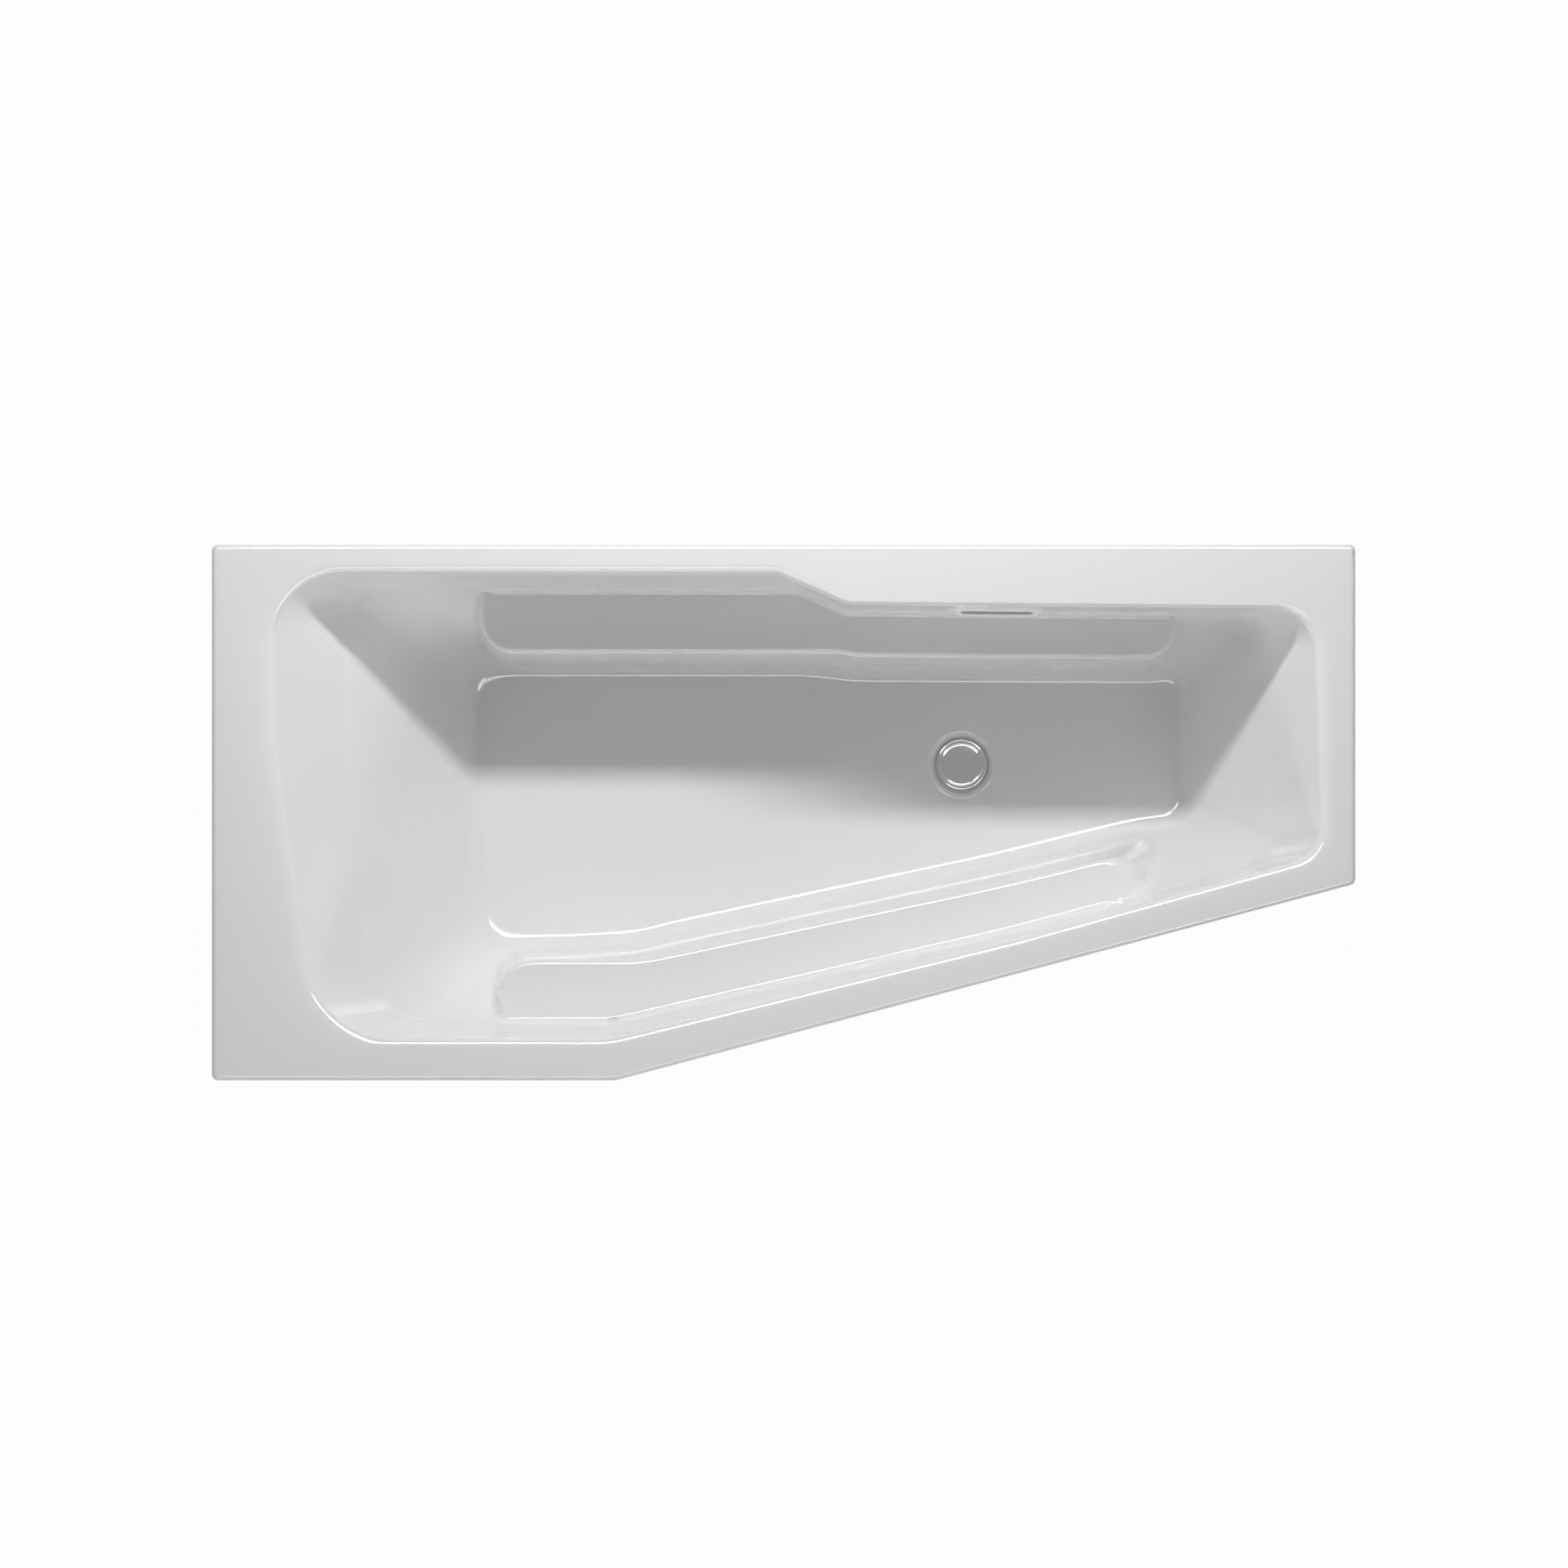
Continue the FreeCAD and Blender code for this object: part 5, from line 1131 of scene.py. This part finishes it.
def moved(part, x, y, z=0, turn=(0, 0, 0)):
    """Turn a part and bring it to its place, in its mesh."""
    part.data.transform(Matrix.Translation((x * MM, y * MM, z * MM)) @ Euler(turn).to_matrix().to_4x4())
    return part


def levels(node):
    """The lowest and highest level of a solid in millimetres."""
    return [corner.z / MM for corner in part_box(node)]


def middle_of(node):
    """The place of a solid's middle in the plan, in millimetres."""
    low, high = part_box(node)
    return (low.x + high.x) / 2 / MM, (low.y + high.y) / 2 / MM


# %% [markdown]
# ## The plug's cap and the flange
# These two are all that shows of the waste from above. The cap is a low dome whose edge is rolled, and it
# hides a rubber seal. The flange is cast brass under chrome, with soft edges, and a cross that carries the
# plug's guide. The cap's dome is one curve, so that it mirrors the room without facets.

# %% Make the cap and the flange
CAP_RADIUS = 30
CAP_EDGE = 1.4
CAP_ROLLED_TO = 0.36 * math.pi
CAP_LOW, CAP_HIGH = levels("plug_cap")
BOTTOM, BRIM = levels("waste_flange")
FLANGE_PROFILE = [(21, BOTTOM), (24.5, BOTTOM), (24.5, 133.5), (34.9, 133.5), (35.5, 134.1), (35.5, 134.9),
                  (35.2, 135.7), (34.6, 136.3), (33.6, 136.65), (32.5, BRIM), (29.4, BRIM), (28.6, 136.5),
                  (28.1, 136.1), (28, 135.5), (27.6, 135.1), (22.2, 135.1), (21.4, 134.8), (21, 134.2)]
HUB_PROFILE = [(radius, BOTTOM + rise) for radius, rise in
               ((3, 0), (7.4, 0), (8, 0.6), (8, 4.4), (7.4, 5), (3, 5))]


def cap_profile(steps=14):
    """The profile of a cap with a rolled edge and a crowned top."""
    rolled = [(CAP_RADIUS - CAP_EDGE * (1 - math.cos(angle)), CAP_LOW + CAP_EDGE * (1 + math.sin(angle)))
              for angle in np.linspace(-math.pi / 2, CAP_ROLLED_TO, 9)]
    radius, start = rolled[-1]
    crown = [(radius * (1 - share), start + (CAP_HIGH - start) * (1 - (1 - share) ** 2))
             for share in np.linspace(0, 1, steps)[1:]]
    return [(0, CAP_LOW)] + rolled + crown


CAP = moved(turned("cap", cap_profile(), "chrome", steps=96, closed=False), *WASTE)
fit(CAP, "plug", "chrome", "plug_cap")
FLANGE = moved(turned("flange", FLANGE_PROFILE, "chrome", steps=96), *WASTE)
HUB = moved(turned("hub", HUB_PROFILE, "chrome", steps=32), *WASTE)
print("cap and flange:", len(CAP.data.polygons), "and", len(FLANGE.data.polygons), "faces")

# %% [markdown]
# ## What repeats
# Screws, nuts, ribs and spokes repeat, so one Geometry Nodes tree sets any of them: it takes a pattern part
# and a cloud of places, each with its own turn, and puts a copy at each. The copies are made real and get
# their finish, and the result is kept as a plain mesh.

# %% Trees of Geometry Nodes
class Growth(Finish):
    """A Geometry Nodes tree with named inputs."""

    prefix = ""

    def __init__(self, name, inputs):
        self.tree = bpy.data.node_groups.new(name, "GeometryNodeTree")
        self.tree.interface.new_socket("Geometry", in_out="OUTPUT", socket_type="NodeSocketGeometry")
        for title, kind in inputs:
            self.tree.interface.new_socket(title, in_out="INPUT", socket_type="NodeSocket" + kind)
        self.given = self.tree.nodes.new("NodeGroupInput")

    def size(self, title):
        """One of the tree's named inputs."""
        return Signal(self.tree, self.given.outputs[title])

    def end(self, geometry):
        """Make everything real, give it its finish and hand it over."""
        real = self.node("GeometryNodeRealizeInstances", None, {"Geometry": geometry})
        finish = {"Geometry": real, "Material": self.size("Finish")}
        self.node("NodeGroupOutput", None, {"Geometry": self.node("GeometryNodeSetMaterial", None, finish)})
        return self.tree


def grown(name, tree, points, values, finish):
    """Run a tree on some points and keep the result as a plain mesh."""
    mesh = bpy.data.meshes.new(name)
    mesh.from_pydata([tuple(np.array(point[:3]) * MM) for point in points], [], [])
    turns = mesh.attributes.new("turn", "FLOAT_VECTOR", "POINT")
    turns.data.foreach_set("vector", [angle for point in points for angle in point[3:]])
    part = in_scene(name, mesh)
    modifier = part.modifiers.new("growth", "NODES")
    modifier.node_group = tree
    sockets = {item.name: item.identifier for item in tree.interface.items_tree if item.in_out == "INPUT"}
    for title, value in {**values, "Finish": FINISHES[finish]}.items():
        modifier[sockets[title]] = value
    result = settled(part)
    result.materials.clear()
    result.materials.append(FINISHES[finish])
    result.polygons.foreach_set("material_index", np.zeros(len(result.polygons), np.int32))
    result.shade_smooth()
    clean(result)
    return part


def copies_tree():
    """A tree that sets a copy of a pattern part on each point."""
    tree = Growth("copies", [("Geometry", "Geometry"), ("Pattern", "Object"), ("Finish", "Material")])
    pattern = tree.node("GeometryNodeObjectInfo", None, {"Object": tree.size("Pattern")}, output="Geometry")
    turn = tree.node("GeometryNodeInputNamedAttribute", {"data_type": "FLOAT_VECTOR"}, {"Name": "turn"})
    copies = tree.node("GeometryNodeInstanceOnPoints", None,
                       {"Points": tree.size("Geometry"), "Instance": pattern, "Rotation": turn})
    return tree.end(copies)


COPIES = copies_tree()


def repeated(name, pattern, places, finish):
    """Copies of a pattern part, which is used up, at places of (x, y, z, three turns)."""
    part = grown(name, COPIES, places, {"Pattern": pattern}, finish)
    bpy.data.objects.remove(pattern)
    print(name + ":", len(places), "copies,", len(part.data.polygons), "faces")
    return part


def joined(part, *others):
    """Join further parts into one mesh."""
    work = bmesh.new()
    for piece in (part, *others):
        work.from_mesh(piece.data)
    work.to_mesh(part.data)
    work.free()
    for piece in others:
        bpy.data.objects.remove(piece)
    part.data.set_sharp_from_angle(angle=PART_SHARP)


def bar(name, low, high, finish, round_by=0.6):
    """A small bar with rounded edges, from one corner to the other in millimetres."""
    work = bmesh.new()
    bmesh.ops.create_cube(work, size=1)
    for vertex in work.verts:
        vertex.co = [((a + b) / 2 + along * (b - a)) * MM for a, b, along in zip(low, high, vertex.co)]
    bmesh.ops.bevel(work, geom=work.edges[:], offset=round_by * MM, segments=2, affect="EDGES", profile=0.5)
    mesh = bpy.data.meshes.new(name)
    work.to_mesh(mesh)
    work.free()
    mesh.materials.append(FINISHES[finish])
    return in_scene(name, mesh)


def around(centre, count):
    """Places round an upright axis, each turned to face outwards."""
    return [(*centre, 0, 0, 0, math.tau * step / count) for step in range(count)]


# %% The flange's cross
SPOKES = 4
SPOKE = ((7, -2.5, BOTTOM), (22.5, 2.5, BOTTOM + 5))
joined(FLANGE, HUB, repeated("spokes", bar("spoke", *SPOKE, "chrome"), around(WASTE, SPOKES), "chrome"))
fit(FLANGE, "tub", "chrome", "waste_flange")

# %% [markdown]
# ## Nuts and screws
# Each foot has two nuts: one is welded under the rail and one locks the rod above it. The rails hang on
# round-headed screws with a cross recess. The nuts get a threaded look inside by their bore's chamfer alone,
# because the rod fills it.

# %% Hexagon nuts
def hexagon_nut(name, height, flats, left, slope, shares, inside, finish, steps):
    """A nut on level nought with sloping chamfers that leave a share of its flats, and its own inside."""
    corner, inner = flats / 2 / math.cos(math.pi / 6), flats / 2 * left
    cut = [(inner + (corner - inner) * share, (corner - inner) * slope * share) for share in shares]
    outside = cut + [(radius, height - rise) for radius, rise in reversed(cut)]
    return turned(name, outside + inside, finish, steps, flats=flats)


NUT_HEIGHT, NUT_FLATS, BORE = 10, 19, 6.1
# A chamfer: the share of the flats that it leaves, its slope and its steps
NUT_CHAMFER = (0.96, math.tan(math.pi / 6), (0, 0.33, 0.66, 1))
NUT_INSIDE = [(BORE + 0.5, NUT_HEIGHT), (BORE, NUT_HEIGHT - 0.6), (BORE, 0.6), (BORE + 0.5, 0)]
# Each nut stands this much further round than the last one
NUT_TURN = 0.35
FEET = {name.replace("foot_pad_", ""): middle_of(name) for name in NODES if name.startswith("foot_pad_")}
for name, finish in (("weld_nuts", "rail_steel"), ("lock_nuts", "screw_steel")):
    pattern = hexagon_nut("nut", NUT_HEIGHT, NUT_FLATS, *NUT_CHAMFER, NUT_INSIDE, finish, steps=48)
    low_end = levels(name)[0]
    places = [(*centre, low_end, 0, 0, NUT_TURN * index) for index, centre in enumerate(FEET.values())]
    fit(repeated(name + "_milled", pattern, places, finish), "tub", finish, name)

# %% Union nuts
UNION_HEIGHT, UNION_FLATS, MOUTH, SLEEVE = 14, 62, 20.4, 26
UNION_CHAMFER = (0.97, 0.5, (0, 0.3, 0.6, 1))
UNION_INSIDE = [(MOUTH + 0.8, UNION_HEIGHT), (MOUTH, UNION_HEIGHT - 0.8), (MOUTH, UNION_HEIGHT - 3),
                (SLEEVE, UNION_HEIGHT - 3), (SLEEVE, 0)]
outlet_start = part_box("outlet_union")[0].x / MM
UNION_PLACES = {
    "trap_union": (*WASTE, levels("trap_union")[0], (0, 0, math.pi / 6)),
    "outlet_union": (outlet_start, WASTE[1], sum(levels("outlet_union")) / 2, (0, math.pi / 2, 0)),
}
for name, place in UNION_PLACES.items():
    union = hexagon_nut(name + "_nut", UNION_HEIGHT, UNION_FLATS, *UNION_CHAMFER, UNION_INSIDE,
                        "union_plastic", steps=72)
    fit(moved(union, *place), "tub", "union_plastic", name)

# %% Screws
HEAD_RADIUS, HEAD_HEIGHT, CROWN = 4.5, 3, 0.92
SHANK, POINT, SCREW_LENGTH = 2.2, 3, 18
RECESS = ((2.3, 0.55), (0.55, 2.3))
RECESS_DEPTH = 1.5


def screw(finish):
    """A round-headed screw with a cross recess, its head down and its shank up."""
    crown = [(HEAD_RADIUS * math.sin(angle), HEAD_HEIGHT * (1 - math.cos(angle)) * CROWN)
             for angle in np.linspace(0, math.pi / 2, 8)]
    shank = [(HEAD_RADIUS, HEAD_HEIGHT), (SHANK, HEAD_HEIGHT), (SHANK, SCREW_LENGTH - POINT),
             (0, SCREW_LENGTH)]
    made = turned("screw", crown + shank, finish, steps=24, closed=False)
    for x, y in RECESS:
        recess = bar("recess", (-x, -y, -1), (x, y, RECESS_DEPTH), finish, round_by=0.2)
        boolean(made, recess, "DIFFERENCE")
    return made


# Where the screws are on a rail, from its feet and from its middle, and how they are turned
RAIL_INSET, RAIL_SPREAD, SCREW_TURN = 90, 10, 0.4
places = []
for rail in ("head_rail", "foot_rail"):
    x = middle_of(rail)[0]
    feet_y = sorted(y for foot_x, y in FEET.values() if abs(foot_x - x) < 1)
    for y in (feet_y[0] + RAIL_INSET, feet_y[1] - RAIL_INSET):
        for side in (-1, 1):
            places.append((x + side * RAIL_SPREAD, y, levels("rail_screws")[0], 0, 0, SCREW_TURN * side))
rail_screws = repeated("round_head_screws", screw("screw_steel"), places, "screw_steel")
fit(rail_screws, "tub", "screw_steel", "rail_screws")

# %% [markdown]
# ## Threaded rods
# An M12 thread climbs 1.75 mm with each turn. That is a rule, so Geometry Nodes make it from a flat grid:
# one direction of the grid goes round the rod and the other climbs, and each point rises a little as it goes
# round, so that every crest is a true helix. Below the thread's start and above its end the points stay at
# the rod's end faces. A hexagon near the pad takes the spanner.

# %% The thread
PITCH = 1.75
CORE, THREAD_DEPTH = 5.1, 0.85
THREAD_STEPS = 17
# The grid starts below the rod and ends above it, and what lies beyond its ends is pressed flat
TURNS_BEFORE = 2.5
SPARE_ROWS = 9


def thread_tree():
    """A tree that wraps a grid into a threaded rod between two levels."""
    numbers = [(name, "Float") for name in ("Low", "High", "Core", "Depth", "Pitch")]
    tree = Growth("thread", [("Geometry", "Geometry"), *numbers, ("Around", "Int"), ("Rows", "Int"),
                             ("Place", "Vector"), ("Finish", "Material")])
    low, high, core, depth, pitch, rows = map(tree.size, ("Low", "High", "Core", "Depth", "Pitch", "Rows"))
    grid = tree.node("GeometryNodeMeshGrid", None, {"Size X": 1.0, "Size Y": 1.0, "Vertices Y": rows,
                                                    "Vertices X": tree.size("Around")})
    here = tree.node("GeometryNodeInputPosition")
    across, up = (tree.node("ShaderNodeSeparateXYZ", None, {0: here}, output=axis) + 0.5 for axis in "XY")
    row = (up * (rows - 1)).maths("ROUND")
    height = low + pitch * (0.5 * row + across - TURNS_BEFORE)
    kept = height.maths("MAXIMUM", low).maths("MINIMUM", high)
    on_thread = (height - kept).maths("ABSOLUTE").maths("LESS_THAN", SAME_PLACE)
    between_ends = row.maths("GREATER_THAN", 0.5) * row.maths("LESS_THAN", rows - 1.5)
    radius = (core + depth * row.maths("MODULO", 2) * on_thread) * between_ends
    angle = across * math.tau
    point = tree.node("ShaderNodeCombineXYZ", None, {"X": radius * angle.maths("COSINE"),
                                                     "Y": radius * angle.maths("SINE"), "Z": kept})
    placed = tree.node("ShaderNodeVectorMath", {"operation": "ADD"}, {0: point, 1: tree.size("Place")})
    return tree.end(tree.node("GeometryNodeSetPosition", None, {"Geometry": grid, "Position": placed}))


THREAD = thread_tree()
SPANNER_FLATS = 15
SPANNER_HEX = [(5.9, 20), (7.2, 20), (8.66, 20.8), (8.66, 26.2), (7.2, 27), (5.9, 27)]
for name, (x, y) in FEET.items():
    low_end, high_end = levels("foot_rod_" + name)
    rod = grown("rod_" + name, THREAD, [(0, 0, 0, 0, 0, 0)], {
        "Low": low_end * MM, "High": high_end * MM, "Core": CORE * MM, "Depth": THREAD_DEPTH * MM,
        "Pitch": PITCH * MM, "Around": THREAD_STEPS,
        "Rows": 2 * math.ceil((high_end - low_end) / PITCH) + SPARE_ROWS,
        "Place": (x * MM, y * MM, 0.0)}, "rod_steel")
    joined(rod, moved(turned("spanner_hexagon", SPANNER_HEX, "rod_steel", flats=SPANNER_FLATS), x, y))
    fit(rod, "rod_" + name, "rod_steel", "foot_rod_" + name)
print("each rod:", len(rod.data.polygons), "faces")

# %% [markdown]
# ## Ribs of the mouldings
# Moulded parts that a hand turns or that carry weight have ribs. The foot pads have twelve under their
# collar, the trap's cup has grip ribs at its foot, and the union nuts keep their flats. All ribs are copies
# of one short bar or wedge.

# %% Ribs
PAD_RIBS = 12
PAD_RIB = [(11, 4), (26.5, 4), (27.4, 6.8), (25.5, 8.2), (15, 17.2), (12.5, 17.6), (11, 17)]
RIB_THICKNESS = 1.8
# The grips keep clear of the spout of the trap's cup
GRIPS, SPOUT_REACH = 24, 0.6
GRIP = ((41, -1.4, 14), (43.2, 1.4, 34))
for name, centre in FEET.items():
    rib = slab("rib", PAD_RIB, (0, 0), -RIB_THICKNESS / 2, RIB_THICKNESS / 2, FINISHES["foot_plastic"])
    clean(rib.data)
    ribs = repeated("pad_ribs_" + name, rib, around(centre, PAD_RIBS), "foot_plastic")
    fit(ribs, "pad_" + name, "foot_plastic")
grip = bar("grip", *GRIP, "drain_plastic", round_by=0.7)
grips_at = [place for place in around(WASTE, GRIPS)
            if abs(math.remainder(place[-1], math.tau)) > SPOUT_REACH]
fit(repeated("cup_grips", grip, grips_at, "drain_plastic"), "tub", "drain_plastic")

# %% [markdown]
# ## The room
# The tub stands on a pale floor and is seen straight from above, so that its plan reads like a drawing. One
# long soft strip hangs high behind the back wall and draws the shadow in the basin, and a low panel in front
# fills the back wall. Five cards that only the gloss sees give the bends their bright lines. The room is
# bright towards its walls and dark overhead, so that the basin's floor is in deeper shade than its walls, but
# mirrors find a grey ceiling there.

# %% Floor, light and camera
FLOOR_SIZE = 12000
FLOOR_GAP = 0.5
FLOOR_WHITE = 0.97
# Each light: azimuth from +X, elevation, distance, length, height, power, and whether only the gloss sees it
LIGHTS = {
    "back_strip": (90, 49.4, 2.4, 1.5, 0.13, 37.5, False),
    "front_panel": (-90, 26, 3.0, 2.4, 0.5, 21, False),
    "back_card": (90, 54, 2.4, 1.5, 0.6, 34, True),
    "front_card": (-90, 57, 2.6, 1.8, 0.4, 16, True),
    "back_right_card": (50, 50, 2.2, 0.75, 0.45, 16, True),
    "back_left_card": (132, 52, 2.2, 0.50, 0.45, 8, True),
    "front_right_card": (-46, 46, 2.2, 0.75, 0.50, 10, True),
}
SKY_TOP = 0.02
SKY_EDGE = 0.52
MIRRORED_CEILING = 0.32
# The camera's place over the tub, and the width of its view in metres
VIEW_FROM = (0.0006, 0.0398, 4.0)
VIEW_WIDTH = 2.194


def studio_floor():
    """A pale floor that stays white to the camera but keeps a soft shadow."""
    paint = Finish("studio_floor")
    paper = paint.node("BsdfDiffuse", None, {"Color": rgb(0.9, 0.9, 0.9)})
    white = paint.node("Emission", None, {"Color": rgb(1, 1, 1), "Strength": 1.0})
    rays = paint.node("LightPath", output="Is Camera Ray") + paint.node("LightPath", output="Is Glossy Ray")
    mixed = paint.node("MixShader", None, {0: rays * FLOOR_WHITE, 1: paper, 2: white})
    paint.node("OutputMaterial", None, {"Surface": mixed})
    corners = [(x * FLOOR_SIZE, y * FLOOR_SIZE, -FLOOR_GAP) for x, y in ((-1, -1), (1, -1), (1, 1), (-1, 1))]
    mesh_piece("floor", corners, [(0, 1, 2, 3)], [paint.material])


def soft_box(name, azimuth, elevation, distance, length, height, power, gloss_only):
    """A soft box that looks at the middle of the tub's rim."""
    lamp = bpy.data.lights.new(name, "AREA")
    lamp.shape = "RECTANGLE"
    lamp.size, lamp.size_y = length, height
    lamp.energy = power
    holder = in_scene(name, lamp)
    turn, lift = math.radians(azimuth), math.radians(elevation)
    flat = distance * math.cos(lift)
    holder.location = (flat * math.cos(turn), flat * math.sin(turn), RIM_TOP * MM + distance * math.sin(lift))
    holder.rotation_euler = (math.pi / 2 - lift, 0, turn + math.pi / 2)
    holder.visible_diffuse = not gloss_only


def sky():
    """A white room, dark overhead and bright towards its walls, with a grey ceiling for mirrors only."""
    air = Finish("sky", "worlds")
    way = air.node("SeparateXYZ", None, {0: air.node("TexCoord", output="Generated")}, output="Z")
    height = way.maths("ABSOLUTE")
    mirrored = air.node("LightPath", output="Is Glossy Ray") * MIRRORED_CEILING
    strength = SKY_EDGE + (SKY_TOP - SKY_EDGE) * height + mirrored * height * height
    seen = air.node("LightPath", output="Is Camera Ray")
    light = air.node("Background", None, {"Color": rgb(1, 1, 1), "Strength": strength * (1 - seen) + seen})
    air.node("OutputWorld", None, {"Surface": light})
    bpy.context.scene.world = air.material


def camera_above():
    """A flat view straight down, like a plan."""
    lens = bpy.data.cameras.new("camera")
    lens.type = "ORTHO"
    lens.ortho_scale = VIEW_WIDTH
    camera = in_scene("camera", lens)
    camera.location = VIEW_FROM
    bpy.context.scene.camera = camera


studio_floor()
for name, setting in LIGHTS.items():
    soft_box(name, *setting)
sky()
camera_above()
bpy.context.scene.view_settings.view_transform = "Standard"
print("lights:", len(LIGHTS), "of which only the gloss sees", sum(setting[-1] for setting in LIGHTS.values()))
